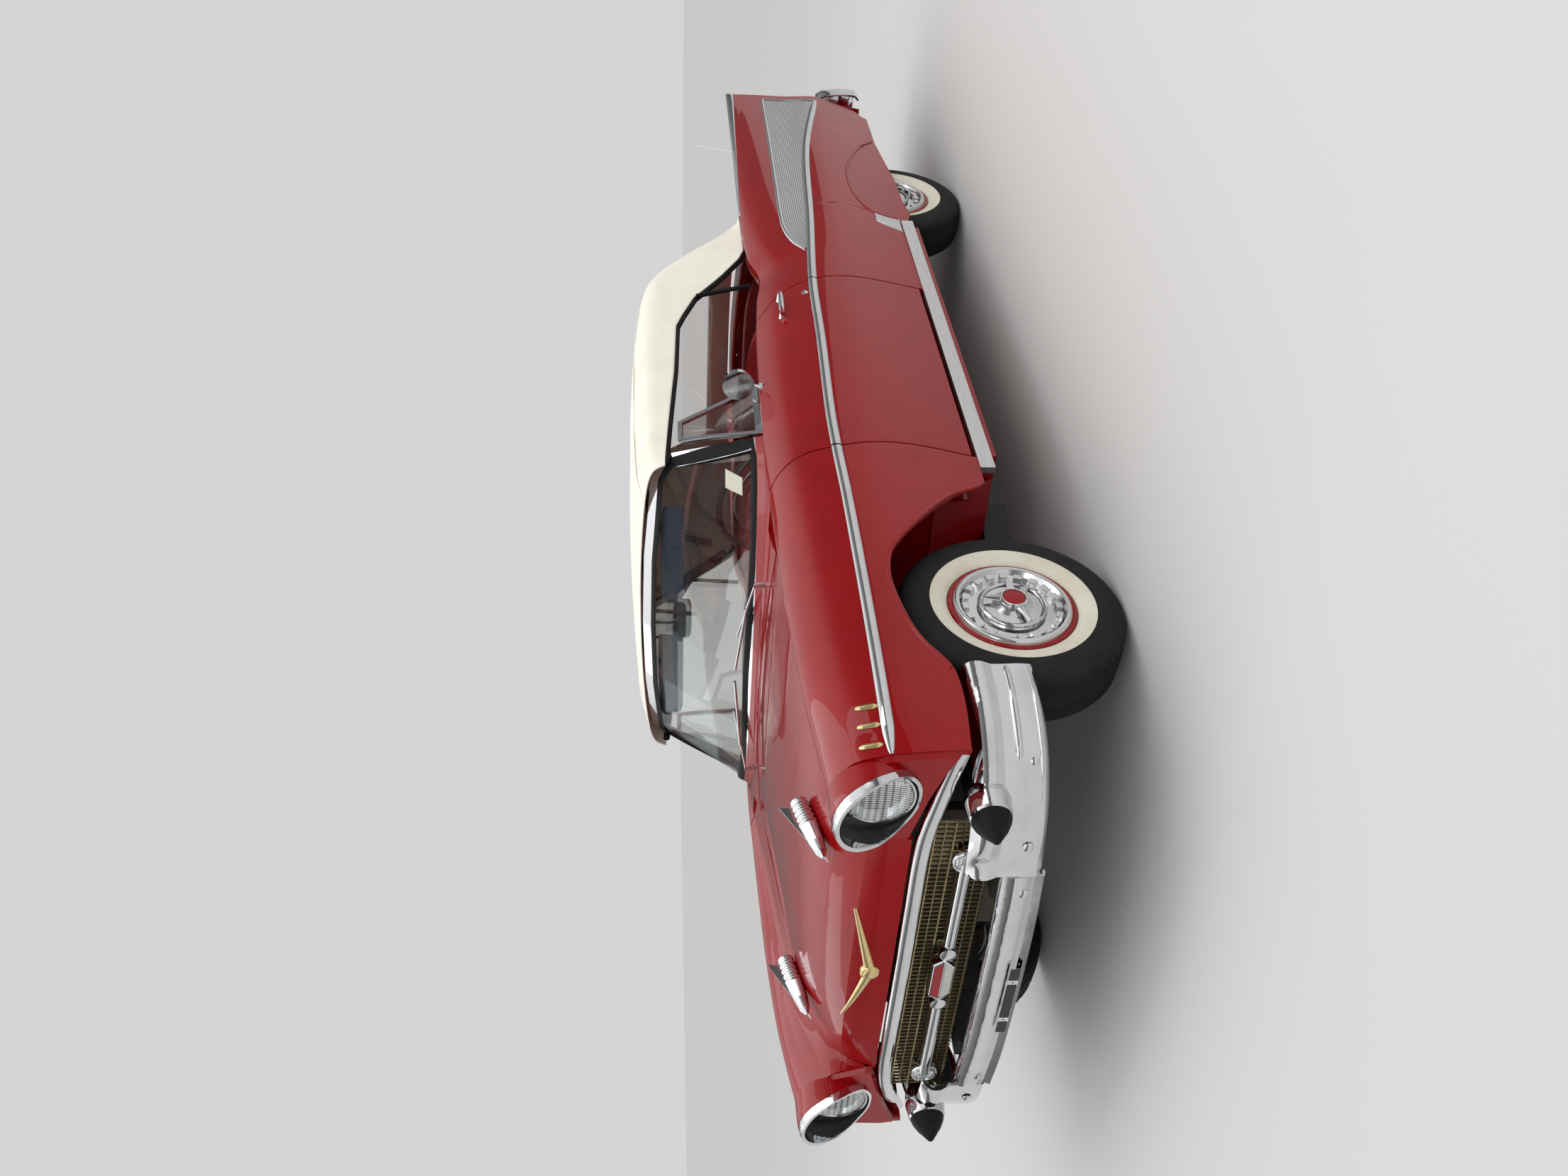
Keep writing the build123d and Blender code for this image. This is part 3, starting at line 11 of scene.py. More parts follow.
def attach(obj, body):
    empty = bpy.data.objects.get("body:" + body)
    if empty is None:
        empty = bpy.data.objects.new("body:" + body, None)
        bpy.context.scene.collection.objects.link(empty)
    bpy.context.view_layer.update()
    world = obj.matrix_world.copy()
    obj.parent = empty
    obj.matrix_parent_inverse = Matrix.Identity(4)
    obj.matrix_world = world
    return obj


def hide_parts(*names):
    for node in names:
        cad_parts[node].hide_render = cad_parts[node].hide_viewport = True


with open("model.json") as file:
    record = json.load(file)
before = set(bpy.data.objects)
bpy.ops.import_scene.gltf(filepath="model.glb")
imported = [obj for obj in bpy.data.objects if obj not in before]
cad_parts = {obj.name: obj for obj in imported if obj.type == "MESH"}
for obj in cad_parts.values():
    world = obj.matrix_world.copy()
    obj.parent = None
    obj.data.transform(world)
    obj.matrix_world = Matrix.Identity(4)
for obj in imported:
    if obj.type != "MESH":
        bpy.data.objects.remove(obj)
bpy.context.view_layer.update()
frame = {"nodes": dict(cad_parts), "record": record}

car = dict(axleY=-1730, wheelbase=2921, frontTrack=1473, rearTrack=1494, axleZ=338, heart=(0, 1300, 560))


def metres(points):
    # (x, station, z) in mm to (x, y, z) in metres
    return (np.asarray(points, float) + np.array([0, car["axleY"], 0])) / 1000


# Finishes

class Signal:
    # a node's output that takes part in sums: numbers through Math, vectors through Vector Math
    def __init__(self, owner, socket):
        self.owner, self.socket = owner, socket

    def sum(self, how, first, second=None):
        values = [v for v in (first, second) if v is not None]
        isVector = any(isinstance(v, Signal) and v.socket.type == "VECTOR" for v in values)
        kind = "ShaderNodeVectorMath" if isVector else "ShaderNodeMath"
        return self.owner.node(kind, dict(operation=how), dict(enumerate(values)))[0]

    def __add__(self, other):
        return self.sum("ADD", self, other)

    def __radd__(self, other):
        return self.sum("ADD", other, self)

    def __sub__(self, other):
        return self.sum("SUBTRACT", self, other)

    def __rsub__(self, other):
        return self.sum("SUBTRACT", other, self)

    def __mul__(self, other):
        return self.sum("MULTIPLY", self, other)

    def __rmul__(self, other):
        return self.sum("MULTIPLY", other, self)

    def sine(self):
        return self.sum("SINE", self)


class Tree:
    def __init__(self, tree):
        self.tree = tree

    def node(self, kind, settings=None, sockets=None):
        # any node: its settings first, then the values or links of its sockets; gives back its outputs
        made = self.tree.nodes.new(kind)
        for key, value in (settings or {}).items():
            if key == "stops":
                self.setStops(made.color_ramp.elements, value)
            else:
                setattr(made, key, value)
        for key, value in (sockets or {}).items():
            socket = made.inputs[key]
            if isinstance(value, Signal):
                self.tree.links.new(value.socket, socket)
            elif hasattr(socket.default_value, "__len__") and not hasattr(value, "__len__"):
                socket.default_value = (value,) * len(socket.default_value)
            else:
                socket.default_value = value
        return [Signal(self, s) for s in made.outputs if s.enabled]

    def setStops(self, stops, wanted):
        # a ramp's stops as (place, grey)
        while len(stops) < len(wanted):
            stops.new(0.5)
        for stop, (at, grey) in zip(stops, wanted):
            stop.position, stop.color = at, (grey, grey, grey, 1)


class Finish(Tree):
    # one material: the shader's own sockets hold what is the same all over
    def __init__(self, name, **sockets):
        self.material = bpy.data.materials.new(name)
        self.material.use_nodes = True
        super().__init__(self.material.node_tree)
        self.shader = self.tree.nodes["Principled BSDF"]
        for key, value in sockets.items():
            self.feed(key, value)

    def feed(self, key, value):
        socket = self.shader.inputs[self.title(key)]
        if isinstance(value, Signal):
            self.tree.links.new(value.socket, socket)
        else:
            socket.default_value = (*value, 1) if hasattr(value, "__len__") and len(value) == 3 else value

    def title(self, key):
        words = dict(colour="Base Color", ior="IOR", specular="Specular IOR Level", coatIor="Coat IOR")
        spaced = "".join(" " + c if c.isupper() else c for c in key)
        return words.get(key) or spaced.title()

    def place(self, stretch=(1, 1, 1)):
        # the point in the piece's own coordinates, stretched
        point = self.node("ShaderNodeTexCoord")[3]
        return self.node("ShaderNodeMapping", None, {0: point, 3: stretch})[0]

    def axis(self, which):
        point = self.node("ShaderNodeTexCoord")[3]
        return self.node("ShaderNodeSeparateXYZ", None, {0: point})[which]

    def noise(self, scale, detail=2.0, rough=0.5, where=None):
        sockets = {"Vector": where or self.place(), "Scale": scale, "Detail": detail, "Roughness": rough}
        return self.node("ShaderNodeTexNoise", None, sockets)[0]

    def spread(self, value, low, high, outLow, outHigh):
        names = ["From Min", "From Max", "To Min", "To Max"]
        sockets = dict(zip(names, (low, high, outLow, outHigh)))
        return self.node("ShaderNodeMapRange", None, {"Value": value, **sockets})[0]

    def mix(self, share, one, other):
        full = [(*c, 1) if hasattr(c, "__len__") and len(c) == 3 else c for c in (one, other)]
        return self.node("ShaderNodeMix", dict(data_type="RGBA"), {0: share, 6: full[0], 7: full[1]})[0]

    def bump(self, height, strength, distance):
        sockets = {"Strength": strength, "Distance": distance, "Height": height}
        self.feed("normal", self.node("ShaderNodeBump", None, sockets)[0])


def bodyPaint():
    look = dict(red=(0.275, 0.0008, 0.0028), deep=(0.245, 0.0007, 0.0024), dust=5)
    f = Finish("bodyPaint", specular=0.08, coatWeight=0.9, coatRoughness=0.02, coatIor=1.38)
    f.feed("colour", f.mix(f.spread(f.noise(look["dust"], 2), 0.35, 0.7, 0, 1), look["red"], look["deep"]))
    f.feed("roughness", f.spread(f.noise(12, 3), 0.3, 0.7, 0.30, 0.36))
    f.bump(f.noise(26, 1), 0.015, 0.002)
    return f.material


def chromeTrim():
    look = dict(bright=(0.72, 0.73, 0.75), dull=(0.63, 0.63, 0.64))
    f = Finish("chromeTrim", metallic=1.0)
    cloud = f.noise(9, 3, 0.5)
    f.feed("colour", f.mix(f.spread(cloud, 0.45, 0.75, 0, 1), look["bright"], look["dull"]))
    f.feed("roughness", f.spread(cloud, 0.35, 0.7, 0.04, 0.09))
    f.bump(f.noise(7, 2), 0.05, 0.004)
    return f.material


def brushedMetal(name, colour, dull, rough, grain):
    # fine lines along the car: noise stretched along Y
    f = Finish(name, metallic=1.0)
    lines = f.noise(1.0, 3, 0.7, f.place(stretch=(600, 6, 600)))
    f.feed("colour", f.mix(f.spread(lines, 0.3, 0.7, 0, 1), colour, dull))
    f.feed("roughness", f.spread(lines, 0.3, 0.7, rough, rough + grain))
    f.bump(lines, 0.06, 0.0006)
    return f.material


def giltMetal():
    f = Finish("giltMetal", metallic=1.0)
    cloud = f.noise(40, 3)
    f.feed("colour", f.mix(f.spread(cloud, 0.4, 0.7, 0, 1), (0.83, 0.66, 0.33), (0.70, 0.55, 0.28)))
    f.feed("roughness", f.spread(cloud, 0.3, 0.7, 0.22, 0.34))
    return f.material


def plainCoat(name, colour, other, rough, scale=30, bump=0.0, size=200, **more):
    # painted or moulded stuff: two near colours in clouds, and a fine grain
    f = Finish(name, **more)
    cloud = f.noise(scale, 4, 0.6)
    f.feed("colour", f.mix(f.spread(cloud, 0.35, 0.7, 0, 1), colour, other))
    f.feed("roughness", f.spread(cloud, 0.3, 0.7, rough, min(rough + 0.15, 1)))
    if bump:
        f.bump(f.noise(size, 3), bump, 0.001)
    return f.material


def topCloth():
    look = dict(cream=(0.80, 0.775, 0.68), worn=(0.73, 0.70, 0.59), threads=900)
    f = Finish("topCloth", sheenWeight=0.15)
    across = (f.axis(0) * look["threads"]).sine()
    along = (f.axis(1) * look["threads"]).sine()
    cloud = f.noise(5, 5, 0.6)
    f.feed("colour", f.mix(f.spread(cloud, 0.4, 0.72, 0, 1), look["cream"], look["worn"]))
    f.feed("roughness", f.spread(cloud, 0.3, 0.7, 0.78, 0.9))
    f.bump(across * along * 0.35 + f.noise(18, 4) * 1.6, 0.35, 0.0016)
    return f.material


def seatVinyl():
    look = dict(red=(0.36, 0.012, 0.014), dark=(0.24, 0.008, 0.010), grain=260)
    f = Finish("seatVinyl", specular=0.45)
    cloud = f.noise(7, 3)
    pores = f.node("ShaderNodeTexVoronoi", dict(feature="DISTANCE_TO_EDGE"),
                   {"Vector": f.place(), "Scale": look["grain"]})[0]
    f.feed("colour", f.mix(f.spread(cloud, 0.4, 0.7, 0, 1), look["red"], look["dark"]))
    f.feed("roughness", f.spread(pores, 0, 0.3, 0.5, 0.38))
    f.bump(pores, 0.25, 0.0012)
    return f.material


def clearStuff(name, colour, rough, ior, opacity):
    # thin glass or vinyl: its alpha lets the view through, its gloss comes from the shader
    f = Finish(name, ior=ior, transmissionWeight=1.0, colour=colour)
    f.feed("roughness", f.spread(f.noise(8, 3), 0.3, 0.7, rough, rough + 0.003))
    f.feed("alpha", f.spread(f.noise(3, 2), 0.3, 0.7, opacity, opacity + 0.015))
    return f.material


def screenFrame():
    # bright frame, painted in the body's colour along its foot
    look = dict(line=1.046, soft=0.0015, bright=(0.72, 0.73, 0.75), red=(0.275, 0.0008, 0.0028))
    f = Finish("screenFrame", coatWeight=0.6, coatRoughness=0.03)
    above = f.spread(f.axis(2), look["line"] - look["soft"], look["line"] + look["soft"], 0, 1)
    f.feed("colour", f.mix(above, look["red"], look["bright"]))
    f.feed("metallic", above)
    f.feed("roughness", f.spread(above, 0, 1, 0.32, 0.07))
    return f.material


def lampGlass():
    f = Finish("lampGlass", ior=1.45, colour=(0.80, 0.83, 0.84))
    ribs = (f.axis(0) * 900).sine()
    cross = (f.axis(2) * 330).sine()
    f.feed("roughness", f.spread(ribs, -1, 1, 0.03, 0.12))
    f.feed("metallic", f.spread(ribs, -1, 1, 0.75, 0.9))
    f.bump(ribs + cross * 0.6, 0.55, 0.004)
    return f.material


finishes = dict(
    body_paint=bodyPaint(),
    chrome_trim=chromeTrim(),
    gilt_metal=giltMetal(),
    aluminium_trim=brushedMetal("aluminiumTrim", (0.80, 0.80, 0.80), (0.62, 0.62, 0.63), 0.24, 0.12),
    wheel_metal=brushedMetal("wheelMetal", (0.80, 0.81, 0.82), (0.62, 0.62, 0.64), 0.12, 0.10),
    frame_black=plainCoat("frameBlack", (0.018, 0.018, 0.019), (0.035, 0.032, 0.03), 0.45, 12, 0.1),
    iron=plainCoat("iron", (0.09, 0.085, 0.08), (0.15, 0.11, 0.08), 0.6, 25, 0.25, 150, metallic=0.6),
    tyre_rubber=plainCoat("tyreRubber", (0.011, 0.011, 0.012), (0.02, 0.019, 0.019), 0.62, 18, 0.2, 400,
                          specular=0.22),
    black_rubber=plainCoat("blackRubber", (0.006, 0.006, 0.007), (0.012, 0.012, 0.012), 0.45, 30, 0.08,
                           specular=0.15),
    black_plastic=plainCoat("blackPlastic", (0.015, 0.015, 0.017), (0.03, 0.03, 0.032), 0.35, 30, 0.06),
    white_wall=plainCoat("whiteWall", (0.72, 0.69, 0.58), (0.62, 0.58, 0.46), 0.55, 9, 0.08, 300),
    red_lens=plainCoat("redLens", (0.42, 0.004, 0.006), (0.30, 0.002, 0.004), 0.08, 60, 0.0),
    silver_paint=plainCoat("silverPaint", (0.62, 0.62, 0.60), (0.50, 0.50, 0.49), 0.35, 90, 0.05,
                           metallic=0.5),
    mesh_gold=plainCoat("meshGold", (0.42, 0.34, 0.18), (0.28, 0.23, 0.13), 0.3, 60, metallic=0.9),
    visor_blue=plainCoat("visorBlue", (0.02, 0.035, 0.07), (0.03, 0.05, 0.09), 0.25, 20),
    top_cloth=topCloth(),
    seat_vinyl=seatVinyl(),
    screen_frame=screenFrame(),
    clear_glass=clearStuff("clearGlass", (0.78, 0.93, 0.88), 0.0, 1.16, 0.34),
    clear_vinyl=clearStuff("clearVinyl", (0.85, 0.86, 0.82), 0.06, 1.4, 0.35),
    lamp_glass=lampGlass(),
)
print("finishes:", len(finishes))


# Shapes on grids

def gridFaces(rows, cols, wrapRows=False, wrapCols=False):
    # each cell (i, j) joins corners (i, j), (i, j+1), (i+1, j+1), (i+1, j)
    i, j = np.meshgrid(np.arange(rows - (not wrapRows)), np.arange(cols - (not wrapCols)), indexing="ij")
    down, right = (i + 1) % rows, (j + 1) % cols
    corners = (i * cols + j, i * cols + right, down * cols + right, down * cols + j)
    return np.stack(corners, -1).reshape(-1, 4)


def turnedOut(points, faces, closed, facing=None):
    # winds the faces so that their normals leave the shape's middle or the car's heart, or follow facing
    a, b, c, d = (points[faces[:, k]] for k in range(4))
    normal = np.cross(c - a, d - b)
    heart = points.mean(0) if closed else np.array(car["heart"])
    way = (a + c) / 2 - heart if facing is None else np.asarray(facing, float)
    return faces if (way * normal).sum() > 0 else faces[:, ::-1]


class Shape:
    # collects grids of points, then makes them one mesh
    def __init__(self):
        self.points, self.faces, self.count = [], [], 0

    def grid(self, points, wrapRows=False, wrapCols=False, capped=False, facing=None, hole=None):
        points = np.asarray(points, float)
        if capped:
            ends = [np.broadcast_to(points[k].mean(0), points[k].shape)[None] for k in (0, -1)]
            points = np.concatenate([ends[0], points, ends[1]])
        rows, cols = points.shape[:2]
        flat = points.reshape(-1, 3)
        faces = turnedOut(flat, gridFaces(rows, cols, wrapRows, wrapCols), wrapRows or wrapCols, facing)
        if hole is not None:
            faces = faces[~hole(flat[faces].mean(1))]
        self.faces.append(faces + self.count)
        self.points.append(flat)
        self.count += len(flat)
        return self

    def closed(self, points, facing=None):
        # rings of points one after another, open at both ends
        return self.grid(points, wrapCols=True, facing=facing)

    def tube(self, points):
        # rings along a path, closed at both ends
        return self.grid(points, wrapCols=True, capped=True)

    def boxes(self, centres, halves):
        # eight corners and six outward faces round each centre
        centres = np.atleast_2d(np.asarray(centres, float))
        halves = np.broadcast_to(np.asarray(halves, float), centres.shape)
        corner = np.array([[x, y, z] for x in (-1, 1) for y in (-1, 1) for z in (-1, 1)])
        points = centres[:, None] + corner[None] * halves[:, None]
        face = np.array([[0, 1, 3, 2], [4, 6, 7, 5], [0, 4, 5, 1], [2, 3, 7, 6], [0, 2, 6, 4], [1, 5, 7, 3]])
        steps = np.arange(len(centres))[:, None, None] * 8
        self.faces.append((face[None] + steps).reshape(-1, 4) + self.count)
        self.points.append(points.reshape(-1, 3))
        self.count += len(centres) * 8
        return self

    def make(self, name, body, slot, finish=None, sharp=38, wall=0.0, replaces=()):
        # one mesh with shared corners; sharp is the crease angle, wall a thickness inwards in mm
        mesh = bpy.data.meshes.new(name)
        mesh.from_pydata(metres(np.concatenate(self.points)), [], np.concatenate(self.faces))
        work = bmesh.new()
        work.from_mesh(mesh)
        bmesh.ops.remove_doubles(work, verts=work.verts, dist=2e-6)
        bmesh.ops.dissolve_degenerate(work, edges=work.edges, dist=1e-6)
        work.to_mesh(mesh)
        work.free()
        mesh.polygons.foreach_set("use_smooth", np.ones(len(mesh.polygons), bool))
        mesh.set_sharp_from_angle(angle=radians(sharp))
        piece = bpy.data.objects.new(name, mesh)
        bpy.context.scene.collection.objects.link(piece)
        mesh.materials.append(finishes[finish or slot])
        if wall:
            shell = piece.modifiers.new("wall", "SOLIDIFY")
            shell.thickness, shell.offset = wall / 1000, -1
        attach(piece, body)
        for node in replaces:
            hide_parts(node)
        return piece


def smooth(rows, s, column):
    # cubic through the table's rows with central slopes, straight past the ends
    rows = np.asarray(rows, float)
    at, value = rows[:, 0], rows[:, column]
    before, after = np.maximum(np.arange(len(at)) - 1, 0), np.minimum(np.arange(len(at)) + 1, len(at) - 1)
    slope = (value[after] - value[before]) / (at[after] - at[before])
    s = np.asarray(s, float)
    inside = np.clip(s, at[0], at[-1])
    i = np.clip(np.searchsorted(at, inside, "right") - 1, 0, len(at) - 2)
    step = at[i + 1] - at[i]
    t = (inside - at[i]) / step
    rise = (2 * t**3 - 3 * t**2 + 1) * value[i] + (3 * t**2 - 2 * t**3) * value[i + 1]
    bend = ((t**3 - 2 * t**2 + t) * slope[i] + (t**3 - t**2) * slope[i + 1]) * step
    past = (s - inside) * np.where(s < at[0], slope[0], slope[-1])
    return rise + bend + past


def through(keys, q):
    # point at q on the smooth curve through key points (..., k, d): cubic spans, slopes along the neighbours
    keys = np.asarray(keys, float)
    last = keys.shape[-2] - 1
    steps = np.linalg.norm(np.diff(keys, axis=-2), axis=-1)
    padded = np.concatenate([np.zeros_like(steps[..., :1]), steps, np.zeros_like(steps[..., :1])], -1)
    before = np.concatenate([keys[..., :1, :], keys[..., :-1, :]], -2)
    after = np.concatenate([keys[..., 1:, :], keys[..., -1:, :]], -2)
    way = (after - before) / (padded[..., :-1] + padded[..., 1:])[..., None]
    i = np.clip(np.floor(q).astype(int), 0, last - 1)
    t = (q - i)[..., None]

    def pick(values, k):
        values = np.broadcast_to(values, q.shape + values.shape[-2:])
        return np.take_along_axis(values, k[..., None, None], -2)[..., 0, :]

    length = np.linalg.norm(pick(keys, i + 1) - pick(keys, i), axis=-1)[..., None]
    rise = (2 * t**3 - 3 * t**2 + 1) * pick(keys, i) + (3 * t**2 - 2 * t**3) * pick(keys, i + 1)
    bend = (t**3 - 2 * t**2 + t) * pick(way, i) + (t**3 - t**2) * pick(way, i + 1)
    return rise + bend * length


def curve(keys, count):
    # evenly spread samples of the smooth curve through a list of points
    keys = np.asarray(keys, float)
    return through(keys, np.linspace(0, len(keys) - 1, count))


def even(points, count):
    # the same line with its points at equal steps of length
    points = np.asarray(points, float)
    walked = np.concatenate([[0], np.cumsum(np.linalg.norm(np.diff(points, axis=0), axis=1))])
    at = np.linspace(0, walked[-1], count)
    return np.stack([np.interp(at, walked, points[:, k]) for k in range(points.shape[1])], -1)


def readOff(table, at):
    # the second column of a table where its first is at, straight between rows
    return np.interp(at, *np.array(table, float).T)


def shares(rows, cols):
    # 0 to 1 down the rows of a grid, and 0 to 1 across its columns
    return np.linspace(0, 1, rows)[:, None], np.linspace(0, 1, cols)[None]


def solved(wanted, value, low, high, rounds=24):
    # halving at every point for a value that rises from low to high
    low, high = np.full_like(wanted, low), np.full_like(wanted, high)
    for _ in range(rounds):
        middle = (low + high) / 2
        under = value(middle) < wanted
        low, high = np.where(under, middle, low), np.where(under, high, middle)
    return (low + high) / 2


def carried(profile, path, up=(0, 0, 1), size=None):
    # profile (outward, upward) at each path point: path + a * outward + b * upward, times size along it
    path, profile = np.asarray(path, float), np.asarray(profile, float)
    way = np.gradient(path, axis=0)
    way /= np.linalg.norm(way, axis=1)[:, None]
    outward = np.cross(way, np.broadcast_to(up, way.shape))
    outward /= np.linalg.norm(outward, axis=1)[:, None]
    upward = np.cross(outward, way)
    scale = np.ones(len(path)) if size is None else np.asarray(size, float)
    flat = profile[None] * scale[:, None, None]
    return path[:, None] + flat[..., :1] * outward[:, None] + flat[..., 1:] * upward[:, None]


def ring(radius, count=12, high=None):
    # an ellipse as a profile: (r cos a, h sin a)
    a = np.arange(count) * 2 * pi / count
    return np.stack([radius * np.cos(a), (high or radius) * np.sin(a)], -1)


def lathe(profile, origin, way, count=48):
    # (distance, radius) points turned about the line from origin along way
    profile, way = np.asarray(profile, float), np.asarray(way, float)
    way = way / np.linalg.norm(way)
    side = np.cross(way, (0, 0, 1) if abs(way[2]) < 0.9 else (1, 0, 0))
    side /= np.linalg.norm(side)
    other = np.cross(way, side)
    a = (np.arange(count) * 2 * pi / count)[None, :, None]
    round_ = np.cos(a) * side + np.sin(a) * other
    return np.asarray(origin, float) + profile[:, None, :1] * way + profile[:, None, 1:] * round_


# Camera, floor and light

def setCamera():
    # the photograph lies on its side: the picture's right is the car's down
    photo = dict(place=(3.33896544, -4.76929912, 1.35203409), target=(-0.0196891, -0.60560218, 0.889191),
                 roll=-0.2052, lens=31.48)
    place, target = Vector(photo["place"]), Vector(photo["target"])
    ahead = (target - place).normalized()
    right = ahead.cross(Vector((0, 0, 1))).normalized()
    down = ahead.cross(right)
    c, s = cos(radians(photo["roll"])), sin(radians(photo["roll"]))
    rolledRight, rolledDown = c * right - s * down, s * right + c * down
    data = bpy.data.cameras.new("camera")
    data.sensor_width, data.lens = 36, photo["lens"]
    data.clip_start, data.clip_end = 0.05, 200
    camera = bpy.data.objects.new("camera", data)
    bpy.context.scene.collection.objects.link(camera)
    turn = Matrix((rolledDown, rolledRight, -ahead)).transposed()
    camera.matrix_world = Matrix.Translation(place) @ turn.to_4x4()
    bpy.context.scene.camera = camera


def setStage():
    look = dict(floor=(0.60, 0.595, 0.585), reach=90.0, sky=0.66, light=0.95,
                mirrored=[(0.0, 0.06), (0.49, 0.07), (0.53, 0.15), (0.66, 0.26), (0.80, 0.95), (1.0, 1.25)])
    mesh = bpy.data.meshes.new("floor")
    a = look["reach"]
    mesh.from_pydata([(-a, -a, 0), (a, -a, 0), (a, a, 0), (-a, a, 0)], [], [(0, 1, 2, 3)])
    floor = bpy.data.objects.new("floor", mesh)
    bpy.context.scene.collection.objects.link(floor)
    f = Finish("floorPaint", roughness=0.7, colour=look["floor"])
    mesh.materials.append(f.material)
    world = bpy.data.worlds.new("studio")
    bpy.context.scene.world = world
    world.use_nodes = True
    studio = Tree(world.node_tree)
    soft = studio.node("ShaderNodeBackground", None, {0: (1, 1, 1, 1), 1: look["light"]})[0]
    shown = studio.node("ShaderNodeBackground", None, {0: (look["sky"],) * 3 + (1,)})[0]
    # what the bright parts mirror: dim walls under a bright ceiling
    way = studio.node("ShaderNodeTexCoord")[0]
    height = studio.node("ShaderNodeSeparateXYZ", None, {0: way})[2]
    part = studio.node("ShaderNodeMapRange", None, {"Value": height, "From Min": -1})[0]
    grey = studio.node("ShaderNodeValToRGB", dict(stops=look["mirrored"]), {0: part})[0]
    walls = studio.node("ShaderNodeBackground", None, {0: grey})[0]
    rays = {ray.socket.name: ray for ray in studio.node("ShaderNodeLightPath")}
    seen = rays["Is Camera Ray"].sum("MAXIMUM", rays["Is Camera Ray"], rays["Is Transmission Ray"])
    glossy = studio.node("ShaderNodeMixShader", None, {0: rays["Is Glossy Ray"], 1: soft, 2: walls})[0]
    last = studio.node("ShaderNodeMixShader", None, {0: seen, 1: glossy, 2: shown})[0]
    world.node_tree.links.new(last.socket, world.node_tree.nodes["World Output"].inputs[0])


def setLights():
    # name: place, size (across, along), power, aimed at the car's middle
    lamps = dict(over=((0.5, -0.5, 5.6), (3.0, 7.0), 90), front=((5.5, -7.5, 5.0), (5.0, 2.0), 60),
                 side=((7.5, 1.0, 4.8), (2.0, 6.0), 60), far=((-6.5, -2.5, 4.6), (2.0, 6.0), 40))
    for name, (place, size, power) in lamps.items():
        data = bpy.data.lights.new(name, "AREA")
        data.shape, data.size, data.size_y, data.energy = "RECTANGLE", size[0], size[1], power
        lamp = bpy.data.objects.new(name, data)
        lamp.location = place
        lamp.rotation_euler = (Vector((0, -0.3, 0.6)) - Vector(place)).to_track_quat("-Z", "Y").to_euler()
        bpy.context.scene.collection.objects.link(lamp)


setCamera()
setStage()
setLights()
bpy.context.scene.view_settings.view_transform = "Standard"
print("camera, floor and lights")


# Body panels

# Left side of the body. Columns: station, then X and Z of the sill edge, the widest line, the side
# spear's line, the shoulder, the crown, the valley inside it and the seam with hood, cabin or deck.
bodySide = [
    (-640, 868, 335, 872, 640, 858, 790, 826, 884, 722, 935, 582, 824, 548, 722),
    (-520, 880, 335, 893, 640, 885, 790, 853, 895, 742, 953, 622, 868, 556, 826),
    (-330, 886, 335, 912, 640, 906, 790, 874, 908, 768, 976, 664, 918, 566, 890),
    (-60, 890, 335, 925, 640, 919, 790, 886, 922, 784, 995, 688, 950, 582, 935),
    (240, 893, 335, 931, 640, 925, 790, 893, 932, 797, 1006, 712, 976, 604, 964),
    (520, 895, 335, 935, 640, 929, 790, 898, 938, 810, 1013, 735, 998, 630, 990),
    (690, 896, 335, 937, 630, 930, 790, 900, 940, 818, 1017, 760, 1010, 700, 1006),
    (1060, 896, 335, 938, 620, 930, 785, 900, 934, 838, 1014, 814, 1017, 790, 1017),
    (1500, 896, 335, 938, 620, 929, 780, 896, 924, 836, 1004, 812, 1007, 788, 1007),
    (1872, 896, 335, 937, 620, 926, 772, 891, 908, 834, 984, 810, 987, 786, 987),
    (2085, 895, 335, 936, 620, 923, 765, 888, 892, 832, 964, 808, 966, 784, 964),
    (2260, 894, 335, 935, 620, 920, 760, 893, 930, 838, 1003, 810, 1004, 780, 1000),
    (2700, 892, 335, 932, 615, 914, 760, 896, 955, 858, 1022, 800, 1008, 705, 1004),
    (3200, 888, 335, 926, 605, 907, 760, 894, 962, 868, 1026, 792, 968, 640, 972),
    (3700, 880, 335, 914, 590, 899, 760, 890, 966, 876, 1029, 796, 930, 628, 925),
    (4060, 868, 335, 902, 575, 892, 760, 887, 968, 880, 1031, 800, 900, 620, 885),
]
# Seams seen from the side, as (station, z) from the bottom up, and the lower edges along the car.
seams = dict(
    nose=[(-640, 200), (-640, 1100)],
    doorFront=[(674, 200), (674, 356), (692, 500), (695, 642), (683, 785), (663, 879), (625, 973),
               (587, 1030), (570, 1100)],
    doorRear=[(1861, 200), (1861, 354), (1873, 484), (1881, 637), (1877, 764), (1844, 846), (1784, 919),
              (1709, 987), (1660, 1100)],
    tail=[(3700, 200), (3774, 347), (3866, 395), (3941, 507), (3993, 573), (4004, 662), (4035, 840),
          (4050, 1000), (4054, 1100)],
)
lowEdges = dict(
    fender=[(-700, 582), (-378, 582), (-235, 665), (-70, 704), (40, 708), (140, 682), (320, 556), (425, 462),
            (532, 335), (900, 335)],
    door=[(0, 351), (4000, 351)],
    quarter=[(1500, 335), (2518, 335), (2557, 447), (2657, 499), (2804, 526), (2981, 522), (3144, 490),
             (3341, 417), (3439, 345), (4200, 345)],
)


def sideSurface(s, q):
    # the body side at station s: the smooth curve through seven key points at q = 0 .. 6
    keys = np.stack([smooth(bodySide, s, k) for k in range(1, 15)], -1)
    keys = keys.reshape(s.shape + (7, 2))
    flat = through(keys, q)
    return np.stack([flat[..., 0], s, flat[..., 1]], -1)


def heightOnSide(s, z, top=3.9):
    # q where the side reaches height z, by halving
    return solved(z, lambda q: sideSurface(s, q)[..., 2], 0, top)


